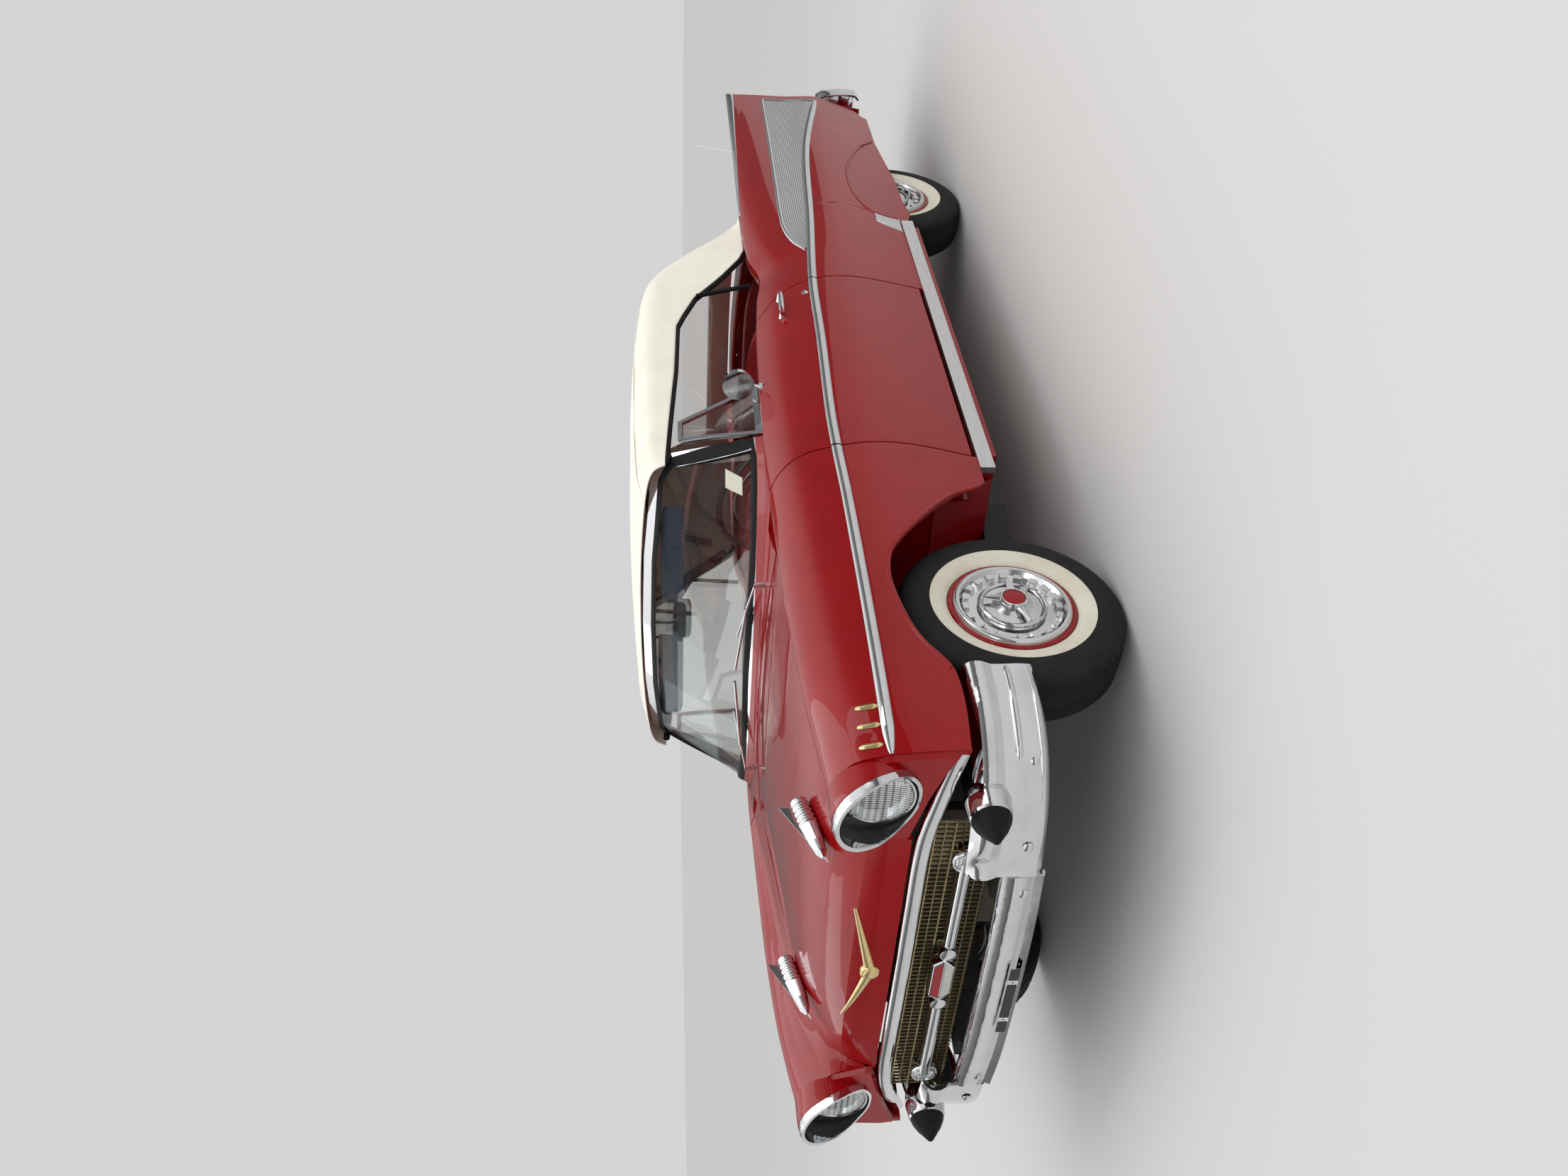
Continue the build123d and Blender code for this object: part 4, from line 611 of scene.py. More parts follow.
def onSide(s, z, proud=0.0):
    # a point of the side at (station, z), moved out along X
    s, z = np.broadcast_arrays(np.asarray(s, float), np.asarray(z, float))
    point = sideSurface(s, heightOnSide(s, z))
    point[..., 0] += proud
    return point


def seamLine(keys):
    # station of a seam at any height, read off its smooth curve
    fine = curve(keys, 400)
    return lambda z: np.interp(z, fine[:, 1], fine[:, 0])


def edgeLine(keys):
    # height of a lower edge at any station
    fine = curve(keys, 600)
    return lambda s: np.interp(s, fine[:, 0], fine[:, 1])


def normals(points):
    # unit normals of a grid on the car's side, away from its middle
    n = np.cross(np.gradient(points, axis=0), np.gradient(points, axis=1))
    n /= np.linalg.norm(n, axis=-1)[..., None] + 1e-12
    return n * np.sign((n[..., 0] * points[..., 0]).mean())


def rolled(points, edges, deep=5.0):
    # turns the named edges of a grid inwards: two rows more, along the inner normal
    for edge in edges:
        n = normals(points)
        p, n = (a if edge in ("start", "end") else a.swapaxes(0, 1) for a in (points, n))
        flip = edge in ("end", "top")
        p, n = (p[::-1], n[::-1]) if flip else (p, n)
        rows = [p[0] - n[0] * deep * 2.2, p[0] - n[0] * deep * 0.3]
        p = np.concatenate([np.stack(rows), p[:1] - n[:1] * 0.5, p[1:]])
        p = p[::-1] if flip else p
        points = p if edge in ("start", "end") else p.swapaxes(0, 1)
    return points


def sidePanel(start, end, low, rows, cols, top=6.0, startGap=0.0, endGap=0.0):
    # grid between two seams and a lower edge: stations are solved again for the height of each point
    first, last, edge = seamLine(start), seamLine(end), edgeLine(low)
    u, v = np.broadcast_arrays(*shares(rows, cols))
    z = 400 + 500 * v
    for _ in range(8):
        s = (1 - u) * (first(z) + startGap) + u * (last(z) + endGap)
        bottom = heightOnSide(s[:, 0], edge(s[:, 0]))
        q = bottom[:, None] + (top - bottom[:, None]) * v
        points = sideSurface(s, q)
        z = points[..., 2]
    return points


panel = dict(gap=7.0, proud=1.8)
gap = panel["gap"]
sides = [(name, name.lower(), side, np.array([side, 1, 1])) for name, side in (("Left", 1), ("Right", -1))]
for name, low, side, flip in sides:
    fender = sidePanel(seams["nose"], seams["doorFront"], lowEdges["fender"], 200, 72, endGap=-gap)
    door = sidePanel(seams["doorFront"], seams["doorRear"], lowEdges["door"], 120, 64, top=5.0)
    quarter = sidePanel(seams["doorRear"], seams["tail"], lowEdges["quarter"], 260, 72, startGap=gap)
    for piece, points, edges, body in (
        ("fenderSkin" + name, fender, ("end", "top", "low"), "car_body"),
        ("doorSkin" + name, door, ("start", "end", "low"), low + "_door"),
        ("quarterSkin" + name, quarter, ("start", "top", "low"), "car_body"),
    ):
        points = rolled(points + normals(points) * panel["proud"], edges)
        Shape().grid(points * flip).make(piece, body, "body_paint")
print("body sides")


# Bright trim along the sides

def halfRound(width, height, count=10):
    # (outward, upward) of a flat-backed rounded strip
    a = np.linspace(0, pi, count)
    return np.stack([height * np.sin(a), width / 2 * np.cos(a)], -1)


def tapered(count, start=1.0, end=1.0, share=0.06):
    # size along a strip: start and end grow to full over the first and last share of it
    t = np.linspace(0, 1, count)
    rise = np.clip(t / share, 0, 1) ** 0.6
    fall = np.clip((1 - t) / share, 0, 1) ** 0.6
    return (start + (1 - start) * rise) * (end + (1 - end) * fall)


def lineOnSide(keys, first, last, count, proud):
    fine = curve(keys, 600)
    s = np.linspace(first, last, count)
    return onSide(s, np.interp(s, fine[:, 0], fine[:, 1]), proud)


trim = dict(
    spear=[(-720, 782), (-495, 787), (-35, 790), (407, 793), (668, 798), (896, 798), (1386, 784), (1856, 774),
           (2460, 734), (3273, 684), (3960, 580)],
    branch=[(2140, 775), (2180, 792), (2230, 817), (2342, 845), (2477, 855), (2895, 854), (3361, 852),
            (3990, 852)],
    height=36, depth=9, proud=1.5, front=-636, rear=3925,
    branchFrom=2150, branchTo=3962, branchSize=(20, 8),
    closing=[(3962, 852), (3925, 590)], closingSize=(18, 8),
    insertFrom=2172, insertTo=3957, insertLean=18, insertProud=2.2, rib=8.5, ribDepth=1.6,
    arch=(-370, 528), archLift=4,
)
handle = dict(x=924.5, start=(1588, 912), end=(1776, 908), posts=(1610, 1754), foot=884, postZ=911,
              post=[(0, 0), (0, 15), (6, 12), (40, 9.5), (40, 0)],
              lock=[(0, 0), (0, 14), (26, 13), (28, 9), (28.5, 0)], lockAt=(899, 1772, 812))
fin = dict(first=2630, last=4056, edge=[(2630, 1022), (4103, 996)], crest=4.12, proud=3.2, wall=3.0)
louvre = dict(at=(-606, -548, -490), low=803, high=863, width=18, height=6.5)
spearFront = float(seamLine(seams["doorFront"])(797))
spearRear = float(seamLine(seams["doorRear"])(774))
for name, low, side, flip in sides:
    profile = halfRound(trim["height"], trim["depth"])
    for part, first, last, body, count, ends in (
        ("Front", trim["front"], spearFront - gap, "car_body", 140, (0.25, 1.0)),
        ("Door", spearFront + 0.5, spearRear - 0.5, low + "_door", 120, (1.0, 1.0)),
        ("Rear", spearRear + gap, trim["rear"], "car_body", 180, (1.0, 0.5)),
    ):
        path = lineOnSide(trim["spear"], first, last, count, trim["proud"])
        strip = carried(profile, path, size=tapered(count, *ends))
        Shape().tube(strip * flip).make("spear" + part + name, body, "chrome_trim")
    path = lineOnSide(trim["branch"], trim["branchFrom"], trim["branchTo"], 200, trim["proud"])
    upper = carried(halfRound(*trim["branchSize"]), path, size=tapered(200, 0.3, 1.0))
    back = onSide(*np.linspace(*trim["closing"], 24).T, trim["proud"])
    closing = carried(halfRound(*trim["closingSize"]), back, up=(0, 1, 0))
    Shape().tube(upper * flip).tube(closing * flip).make("branch" + name, "car_body", "chrome_trim")
    # ribbed insert: u runs back, v down from the branch; x stands out by a row of half waves in z
    fine, above = curve(trim["spear"], 600), curve(trim["branch"], 600)
    u, v = shares(220, 170)
    s = trim["insertFrom"] + (trim["insertTo"] - trim["insertLean"] * v - trim["insertFrom"]) * u
    topZ, lowZ = np.interp(s, above[:, 0], above[:, 1]), np.interp(s, fine[:, 0], fine[:, 1])
    z = topZ + (lowZ - topZ) * v
    insert = onSide(s, z, trim["insertProud"])
    insert[..., 0] += trim["ribDepth"] * np.abs(np.sin(pi * (topZ - z) / trim["rib"]))
    Shape().grid(insert * flip).make("insert" + name, "car_body", "aluminium_trim")
    # cap along the fin: from the crest down its outer face, deeper towards the tail
    s, v = np.linspace(fin["first"], fin["last"], 150)[:, None], np.linspace(0, 1, 9)[None]
    bottom = heightOnSide(s[:, 0], readOff(fin["edge"], s[:, 0]), top=4.0)[:, None]
    cap = sideSurface(s + 0 * v, fin["crest"] + (np.minimum(bottom, 3.97) - fin["crest"]) * v)
    cap += normals(cap) * fin["proud"]
    Shape().grid(cap * flip).make("finCap" + name, "car_body", "chrome_trim", wall=fin["wall"])
    louvres = Shape()
    profile = halfRound(louvre["width"], louvre["height"])
    for s in louvre["at"]:
        path = onSide(np.full(16, s), np.linspace(louvre["low"], louvre["high"], 16), trim["proud"])
        bar = carried(profile, path, up=(0, -1, 0), size=tapered(16, 0.35, 0.35, 0.2))
        louvres.tube(bar * flip)
    louvres.make("louvres" + name, "car_body", "gilt_metal")
    lip = curve(lowEdges["fender"][1:], 300)
    lip = lip[(lip[:, 0] > trim["arch"][0]) & (lip[:, 0] < trim["arch"][1])]
    arch = onSide(lip[:, 0], lip[:, 1] + trim["archLift"])
    Shape().tube(carried(ring(7, 10), arch) * flip).make("archLip" + name, "car_body", "body_paint")
    pullOut = Shape()
    grip = np.linspace((handle["x"], *handle["start"]), (handle["x"], *handle["end"]), 24)
    grip = carried(ring(7, 14, 11), grip, size=tapered(24, 0.3, 0.5, 0.25))
    pullOut.tube(grip * flip)
    for s in handle["posts"]:
        pullOut.closed(lathe(handle["post"], (handle["foot"], s, handle["postZ"]), (1, 0, 0), 20) * flip)
    pullOut.closed(lathe(handle["lock"], handle["lockAt"], (1, 0, 0), 28) * flip)
    pullOut.make("doorHandle" + name, low + "_door", "chrome_trim")
print("side trim")


# Wheels and tyres

wheel = dict(
    tyre=[(70, 187), (80, 196), (90, 214), (97, 245), (97, 275), (92, 303), (81, 324), (68, 333.5), (45, 336),
          (0, 338)],
    white=(193, 246), tread=(14, 32, 50), groove=5.5, sipes=84,
    rim=[(70, 176.5), (81, 176.5), (82.5, 181), (82, 188), (79, 191), (72, 191.5)],
    middle=[(112, 34), (114, 33), (116, 20), (116.5, 0.4)],
    hub=[(106, 42), (112, 41), (116, 38.5), (116, 35), (112.5, 33.5)],
    bead=[(78, 176), (88, 175), (93.5, 170), (94.5, 165), (93, 160), (84, 157)],
    dish=[(83.5, 104), (89, 99), (91, 95), (89.5, 91), (87, 86)], blades=(80, 200, 320), root=30, reach=68,
)


def sidewall(count):
    # the tyre's half section from bead to tread, evenly spread
    return even(curve(wheel["tyre"], 200), count)


def tyreGrid(count=224):
    half = sidewall(44)
    section = np.concatenate([half, (half * (-1, 1))[-2::-1]])
    across, radius = section[:, 0][:, None], section[:, 1][:, None]
    a = (np.arange(count) * 2 * pi / count)[None]
    # tread: bells cut round the tyre, and short cuts across it that lean with the shoulder
    on = np.clip((radius - 326) / 8, 0, 1)
    round_ = sum(np.exp(-((np.abs(across) - c) / 2.6) ** 2) for c in wheel["tread"])
    cuts = (np.cos(wheel["sipes"] * a + across * 0.05) > 0.72) * (np.abs(across) > 34)
    depth = on * wheel["groove"] * np.maximum(np.clip(round_, 0, 1), cuts * 0.8)
    r = radius - depth
    return np.stack([across + 0 * a, r * np.sin(a), r * np.cos(a)], -1)


wheelPlaces = [(*place, s, track) for place in sides
               for s, track in ((0, car["frontTrack"]), (car["wheelbase"], car["rearTrack"]))]
for name, low, side, flip, s, track in wheelPlaces:
    end = "front" if s == 0 else "rear"
    body = end + "_" + low + "_wheel"
    hub = np.array([side * track / 2, s, car["axleZ"]])
    out = np.array([side, 0, 0])
    label = end.title() + name
    Shape().grid(tyreGrid() * flip + hub, wrapRows=True, wrapCols=True).make(
        "tyre" + label, body, "tyre_rubber", replaces=("tyre_" + end + "_" + low,), sharp=50)
    wall = sidewall(400)
    wall = wall[(wall[:, 1] > wheel["white"][0]) & (wall[:, 1] < wheel["white"][1]) & (wall[:, 0] > 0)]
    wall = even(wall, 22) + (1.0, 0)
    wall = np.concatenate([wall[:1] - (2, 0), wall, wall[-1:] - (2, 0)])
    Shape().closed(lathe(wall, hub, out, 128), out).make(
        "whitewall" + label, body, "tyre_rubber", "white_wall")
    for piece, key, count in (("rimBand", "rim", 96), ("hubDisc", "middle", 40)):
        Shape().closed(lathe(wheel[key], hub, out, count), out).make(piece + label, body, "body_paint")
    shine = Shape()
    for key, count in (("hub", 64), ("bead", 128), ("dish", 96)):
        shine.closed(lathe(wheel[key], hub, out, count), out)
    # spinner: three blades, each a ridge that narrows outwards
    t = np.linspace(0, 1, 14)[:, None]
    w = np.linspace(-1, 1, 9)[None]
    for turn in wheel["blades"]:
        reach, half = wheel["root"] + wheel["reach"] * t, 13 * (1 - t) ** 0.8 + 3.5
        high = 113 - 10 * t - 6 * np.abs(w) ** 1.5 * (1 - 0.4 * t)
        along = np.array([0, cos(radians(turn)), sin(radians(turn))])
        over = np.array([0, -sin(radians(turn)), cos(radians(turn))])
        blade = along * (reach + 0 * w)[..., None] + over * (half * w)[..., None]
        shine.grid(hub + out * high[..., None] + blade, facing=out)
    shine.make("wheelTrim" + label, body, "chrome_trim", wall=2.0)
print("wheels")


# Headlamps

lamp = dict(x=717, s=-641, z=803, radius=88, ball=96, foot=3, rise=17, bezelX=720, bezelZ=815, bore=113.2,
            ring=[(0, 102), (9, 101), (15, 96), (15, 91), (9, 88), (2, 87)], back=[(1, 113), (1.5, 100)],
            brow=[(648, 6), (680, 10), (730, 28), (800, 70), (860, 98), (950, 124)], edge=24,
            can=[(0, 124), (70, 123), (110, 119), (128, 112)])
for name, low, side, flip in sides:
    at, ahead = (lamp["x"], lamp["s"], lamp["z"]), (0, -1, 0)
    r = np.linspace(lamp["radius"], 0, 20)
    dome = np.stack([lamp["foot"] + lamp["rise"] * np.sqrt(1 - (r / lamp["ball"]) ** 2), r], -1)
    Shape().closed(lathe(dome, at, ahead, 96) * flip, ahead).make("lens" + name, "car_body", "lamp_glass")
    Shape().closed(lathe(lamp["ring"], at, ahead, 96) * flip, ahead).make(
        "lensRing" + name, "car_body", "chrome_trim")
    # dark inside of the brow: depth at each angle follows the slanted cut
    a = (np.arange(96) * 2 * pi / 96)[None]
    t = np.linspace(0, 1, 12)[:, None]
    z = lamp["bezelZ"] + lamp["bore"] * np.sin(a)
    cut = readOff(lamp["brow"], z)
    depth = cut * 0.9
    across = lamp["bezelX"] + lamp["bore"] * np.cos(a)
    liner = np.stack([across + 0 * t, lamp["s"] - depth * t, z + 0 * t], -1)
    back = lathe(lamp["back"], (lamp["bezelX"], lamp["s"] - 1, lamp["bezelZ"]), ahead, 96)
    Shape().closed((liner - (0, 2, 0)) * flip).closed(back * flip, ahead).make(
        "browInside" + name, "car_body", "black_plastic")
    # red skin over the lamp's can, back from its bright edge
    fade = np.clip((cut - lamp["edge"]) * t, 0.4, None)
    wide = readOff(lamp["can"], fade) + 1.5
    wide = np.concatenate([wide, wide[-1:] - 2.2])
    fade = np.concatenate([fade, fade[-1:] + 0.6])
    skin = np.stack([lamp["bezelX"] + wide * np.cos(a), lamp["s"] + 1 - fade,
                     lamp["bezelZ"] + wide * np.sin(a)], -1)
    Shape().closed(skin * flip).make("browSkin" + name, "car_body", "body_paint")
print("headlamps")


# Hood ornaments: ribbed rockets under swept fins, and two wing bars at a round boss

rocket = dict(x=373, front=(-562, 915), rear=(-352, 970), length=217, ribs=(122, 206), ribPitch=20, rib=1.4,
              radius=[(0, 4), (24, 17), (60, 23), (120, 28), (216, 26), (217, 0)])
for name, low, side, flip in sides:
    start = np.array([rocket["x"], *rocket["front"]], float)
    way = np.array([rocket["x"], *rocket["rear"]]) - start
    d = np.linspace(0, rocket["length"], 130)
    ribbed = (d > rocket["ribs"][0]) & (d < rocket["ribs"][1])
    body = readOff(rocket["radius"], d)
    body += rocket["rib"] * np.cos(2 * pi * (d - 130) / rocket["ribPitch"]) * ribbed
    body[0] = 0.1
    shape = Shape().closed(lathe(np.stack([d, body], -1), start, way, 40) * flip)
    u = np.linspace(0, 1, 40)[:, None]
    v = np.concatenate([np.linspace(0, 1, 12), np.linspace(1, 0, 12)])[None]
    lowS, lowZ = -575 + 195 * u, 905 + 62 * u
    topS, topZ = -575 + 203 * u, 905 + 124 * u + 14 * np.sin(pi * u) * 0.3
    thick = np.where(np.arange(24) < 12, 1, -1)[None] * (4.2 - 3.2 * v) * np.clip(u * 8, 0.2, 1)
    blade = np.stack([rocket["x"] + thick, lowS + (topS - lowS) * v, lowZ + (topZ - lowZ) * v], -1)
    shape.tube(blade * flip)
    nodes = ("hood_ornaments",) if side > 0 else ()
    shape.make("rocket" + name, "hood_lid", "chrome_trim", replaces=nodes, sharp=45)
# the wings lie on the hood's front: its station at each height in the middle, and how far it falls back at x
wing = dict(foot=764, rise=62, reach=252, lift=1.5, back=10.5,
            front=[(750, -671.9), (764, -668), (780, -665.9), (795, -662.4), (810, -657.3), (824, -650.4),
                   (840, -636.8)],
            boss=[(0, 0), (0, 29), (13, 28.5), (17, 25), (17.5, 21), (20, 19), (23, 11), (24, 0)])
wings = Shape()
for side in (1, -1):
    share = np.linspace(0.02, 1, 60)
    x, z = wing["reach"] * share, wing["foot"] + wing["rise"] * share
    s = readOff(wing["front"], z) + wing["back"] * share**2 - wing["lift"]
    path, size = np.stack([side * x, s, z], -1), 1 - 0.72 * share
    path, size = (path, size) if side > 0 else (path[::-1], size[::-1])
    wings.tube(carried(halfRound(34, 12, 14), path, size=size))
wings.closed(lathe(wing["boss"], (0, -664, wing["foot"] + 2), (0, -1, 0), 48))
wings.make("hoodWings", "hood_lid", "gilt_metal")
print("hood ornaments")


# Grille: fine upright bars, level bars, the chrome bar with its pods and the moulding over it

grille = dict(top=650, bottom=474, s=-652, half=620, pitch=18.5, level=53, barZ=552, barS=-690, barHalf=500,
              podAt=(505, -640, 550), clampAt=(118, -664, 556), bossZ=560,
              over=[(-12, -22), (2, -21), (8, -14), (10, 0), (8, 14), (2, 21), (-12, 22)],
              plan=[(-846, -606, 590), (-700, -644, 636), (-548, -664, 667), (-280, -684, 675),
                    (0, -690, 676)],
              pod=[(0, 0), (0, 18), (8, 30), (34, 37), (48, 41), (56, 41), (60, 38), (60, 34), (54, 33),
                   (54, 0)],
              clamp=[(0, 0), (0, 26), (30, 27), (46, 24), (50, 18), (50, 0)],
              boss=[(-98, 560), (-74, 594), (74, 594), (98, 560), (64, 528), (-64, 528)],
              bossRows=[(1.0, -676), (1.0, -704), (0.97, -712), (0.9, -714), (0.87, -708), (0.01, -708)],
              fields=(("bossUpper", "body_paint", 562, 590, -711),
                      ("bossLower", "silver_paint", 532, 558, -710.5)),
              fieldHalf=[(528, 56), (560, 85), (594, 63)], rib=0.9, ribPitch=7)
count = int(grille["half"] * 2 / grille["pitch"]) + 1
x = (np.arange(count) - (count - 1) / 2) * grille["pitch"]
middle, tall = (grille["top"] + grille["bottom"]) / 2, (grille["top"] - grille["bottom"]) / 2
uprights = np.stack([x, np.full(count, grille["s"]), np.full(count, middle)], -1)
mesh = Shape().boxes(uprights, (1.1, 4, tall))
levels = [(0, grille["s"], grille["bottom"] + 8 + k * grille["level"]) for k in range(4)]
mesh.boxes(levels, (grille["half"], 7, 2.2))
half = [(0, grille["s"] + 1, grille["bottom"] + 34.5 + k * grille["level"]) for k in range(3)]
mesh.boxes(half, (grille["half"], 5, 1.2))
mesh.make("grilleMesh", "car_body", "gilt_metal", "mesh_gold", replaces=("grille",))
Shape().boxes([(0, -588, 565)], (510, 6, 108)).make("radiator", "car_body", "frame_black")
bright = Shape()
overPlan = grille["plan"] + [(-x, s, z) for x, s, z in grille["plan"][-2::-1]]
path = even(curve(overPlan, 400), 160)
bright.tube(carried(curve(grille["over"], 24), path))
bar = np.linspace((-grille["barHalf"], grille["barS"], grille["barZ"]),
                  (grille["barHalf"], grille["barS"], grille["barZ"]), 60)
bright.tube(carried(ring(16, 16, 18), bar))
podWay = (0, -1, 0.05)
parking = Shape()
r = np.linspace(33, 0, 10)
dome = np.stack([50 + 12 * np.sqrt(1 - (r / 36) ** 2), r], -1)
for side in (1, -1):
    flip = np.array([side, 1, 1])
    bright.closed(lathe(grille["pod"], grille["podAt"] * flip, podWay, 48))
    bright.closed(lathe(grille["clamp"], grille["clampAt"] * flip, (0, -1, 0), 32))
    parking.closed(lathe(dome, grille["podAt"] * flip, podWay, 48), (0, -1, 0))
# hexagonal boss: outline scaled towards its centre row by row
outline = even(grille["boss"] + grille["boss"][:1], 61)[:-1]
middle = grille["bossZ"]
boss = np.stack([np.stack([outline[:, 0] * k, np.full(60, s), middle + (outline[:, 1] - middle) * k], -1)
                 for k, s in grille["bossRows"]])
bright.closed(boss)
bright.make("grilleBright", "car_body", "chrome_trim")
for name, finish, low, high, face in grille["fields"]:
    t, v = np.linspace(-1, 1, 90)[:, None], np.linspace(0, 1, 14)[None]
    z = low + (high - low) * v
    wide = t * readOff(grille["fieldHalf"], z)
    ribs = grille["rib"] * np.abs(np.sin(pi * wide / grille["ribPitch"])) if finish == "silver_paint" else 0.0
    field = np.stack([wide, face - ribs + 0 * wide, z + 0 * t], -1)
    Shape().grid(field, facing=(0, -1, 0)).make(name, "car_body", "chrome_trim", finish, wall=1.5)
parking.make("parkingLenses", "car_body", "lamp_glass")
print("grille")


# Bumper ribs and bolts

bumper = dict(plan=[(700, -684), (820, -590), (876, -470), (893, -345)],
              ribs=((0.8, 440, 22, 9), (0.0, 503, 12, 7), (0.0, 380, 12, 7)),
              bolts=((440, -752, 400, 0.15), (600, -727, 408, 0.15), (800, -612, 400, 0.8)),
              head=[(0, 0), (0, 15), (3, 14.5), (7, 10), (8.5, 0)])
ribs = Shape()
for side in (1, -1):
    # each rib: where it starts on the plan, its height, width and depth
    for first, z, width, deep in bumper["ribs"]:
        flat = curve(bumper["plan"], 200)
        flat = even(flat[int(first / 3 * 200):], 60)
        path = np.stack([flat[:, 0] + 1, flat[:, 1], np.full(60, z)], -1)
        rib = carried(halfRound(width, deep), path, size=tapered(60, 0.3, 0.3, 0.08))
        ribs.tube(rib * (side, 1, 1))
ribs.make("bumperRibs", "car_body", "chrome_trim")
bolts = Shape()
for x, s, z, lean in bumper["bolts"]:
    for side in (1, -1):
        bolts.closed(lathe(bumper["head"], (side * x, s, z), (side * lean, -1, 0), 28))
bolts.make("bumperBolts", "car_body", "chrome_trim")
face = [(-125, -787, 381), (0, -787, 381), (125, -787, 381)]
Shape().boxes(face, [(24, 0.8, 14), (77, 0.8, 14), (24, 0.8, 14)]).make(
    "bracketFace", "car_body", "frame_black")
print("bumper")


# Tail: rings round the lamps, the body's corner beside the deck lid, the lid's pull and lock

tail = dict(lampX=826, lampZ=770, panel=3994, edgeX=622, outerX=772, top=872, bottom=602,
            deck=[(602, 4080), (700, 4080), (785, 4070), (830, 4046), (862, 4020), (872, 4000)],
            collar=[(0, 60), (7, 61), (16, 58), (24, 51), (24, 45)],
            tip=[(84, 45), (86, 48.5), (94, 47.5), (97, 42)],
            fall=[(0, 0.0), (0, 0.9), (0.03, 0.99), (0.12, 1.0), (0.5, 0.62), (0.82, 0.16), (1, 0.02)])
pull = dict(half=150, s=4116, bow=6 / 330**2, z=742, lockAt=(0, 4110, 700),
            lock=[(0, 0), (0, 19), (8, 18), (11, 14), (10, 9), (11, 0)])
for name, low, side, flip in sides:
    at, behind = (tail["lampX"], tail["panel"], tail["lampZ"]), (0, 1, 0)
    rings = Shape()
    for key in ("collar", "tip"):
        rings.closed(lathe(tail[key], at, behind, 72) * flip, behind)
    rings.make("lampRing" + name, "car_body", "chrome_trim")
    # corner: at each height it leaves the lid's edge and falls to the panel in a smooth curve
    z = np.linspace(tail["bottom"], tail["top"], 60)
    out = readOff(tail["deck"], z) - tail["panel"]
    span = tail["outerX"] - tail["edgeX"]
    keys = np.stack([np.stack([tail["edgeX"] + span * a + 0 * z, tail["panel"] + out * b, z], -1)
                     for a, b in tail["fall"]], 1)
    corner = through(keys[:, None], np.linspace(0, 6, 48)[None] + np.zeros((60, 1)))
    Shape().grid(corner * flip, facing=(0, 1, 0)).make(
        "tailCorner" + name, "car_body", "body_paint", wall=1.5)
x = np.linspace(-pull["half"], pull["half"], 60)
path = np.stack([x, pull["s"] - x**2 * pull["bow"], np.full(60, pull["z"])], -1)[::-1]
deckPull = Shape().tube(carried(ring(8, 12, 11), path, size=tapered(60, 0.3, 0.3, 0.2)))
deckPull.closed(lathe(pull["lock"], pull["lockAt"], (0, 1, 0), 40))
deckPull.make("deckPull", "deck", "chrome_trim")
print("tail")


# Windscreen: rubber round the glass on both faces, and the blank sticker in the driver's corner

screen = dict(low=1000, high=1440, plan=[(0, 545, 0, 913), (290, 560, 260, 925), (540, 615, 440, 952),
                                         (700, 712, 550, 985), (788, 828, 610, 1012), (815, 916, 635, 1040)],
              glass=[(782, 1058), (0, 1072), (-782, 1058), (-655, 1330), (-600, 1362), (-300, 1386),
                     (0, 1392), (300, 1386), (600, 1362), (655, 1330)],
              outside=[(-3, -16), (-3, 7.2), (-1, 8.4), (13, 8.4), (15, 7.4), (15, 5)],
              inside=[(-3, -13), (-2, -21), (12, -22), (20, -21)])


def screenPoint(x, z, out):
    # point of the wrapped screen at (x, z) seen from ahead, moved out along the plan curve's normal
    x, z, out = np.broadcast_arrays(*(np.asarray(v, float) for v in (x, z, out)))
    rows = np.array(screen["plan"], float)
    t = ((z - screen["low"]) / (screen["high"] - screen["low"]))[..., None, None]
    half = rows[:, :2] * (1 - t) + rows[:, 2:] * t
    keys = np.concatenate([half[..., 1:2, :] * (-1, 1), half], -2)
    wide = np.abs(x)
    q = solved(wide, lambda q: through(keys, q)[..., 0], 1, 5.98)
    point, ahead = through(keys, q), through(keys, q + 0.01)
    way = ahead - point
    way /= np.linalg.norm(way, axis=-1)[..., None]
    point = point + out[..., None] * np.stack([way[..., 1], -way[..., 0]], -1)
    return np.stack([point[..., 0] * np.where(x < 0, -1, 1), point[..., 1], z], -1)


opening = np.array(screen["glass"], float)
opening = even(np.concatenate([opening, opening[:1]]), 321)[:-1]
along = np.roll(opening, -1, 0) - np.roll(opening, 1, 0)
along /= np.linalg.norm(along, axis=1)[:, None]
for piece, key, facing in (("screenRubber", "outside", (0, -1, 0.4)),
                           ("screenRubberInside", "inside", (0, 1, 0))):
    rows = [screenPoint(opening[:, 0] - along[:, 1] * grow, opening[:, 1] + along[:, 0] * grow, out)
            for grow, out in screen[key]]
    Shape().closed(np.stack(rows), facing).make(piece, "car_body", "black_rubber")
x, z = np.linspace(670, 716, 12)[:, None], np.linspace(1090, 1146, 10)[None]
Shape().grid(screenPoint(x + 0 * z, z + 0 * x, -13.5), facing=(0, -1, 0)).make(
    "blankSticker", "car_body", "black_plastic", "white_wall")
print("windscreen")


# Visors, inside mirror, steering wheel and dials

def slab(centre, half, rounding=0.3, count=(36, 96)):
    # rounded box: each coordinate is half * sign(c) |c|^rounding, c on a ball
    u = np.linspace(-pi / 2, pi / 2, count[0])[:, None]
    v = (np.arange(count[1]) * 2 * pi / count[1])[None]
    c = np.stack([np.cos(u) * np.cos(v), np.cos(u) * np.sin(v), np.sin(u) + 0 * v], -1)
    return np.sign(c) * np.abs(c) ** rounding * half + centre


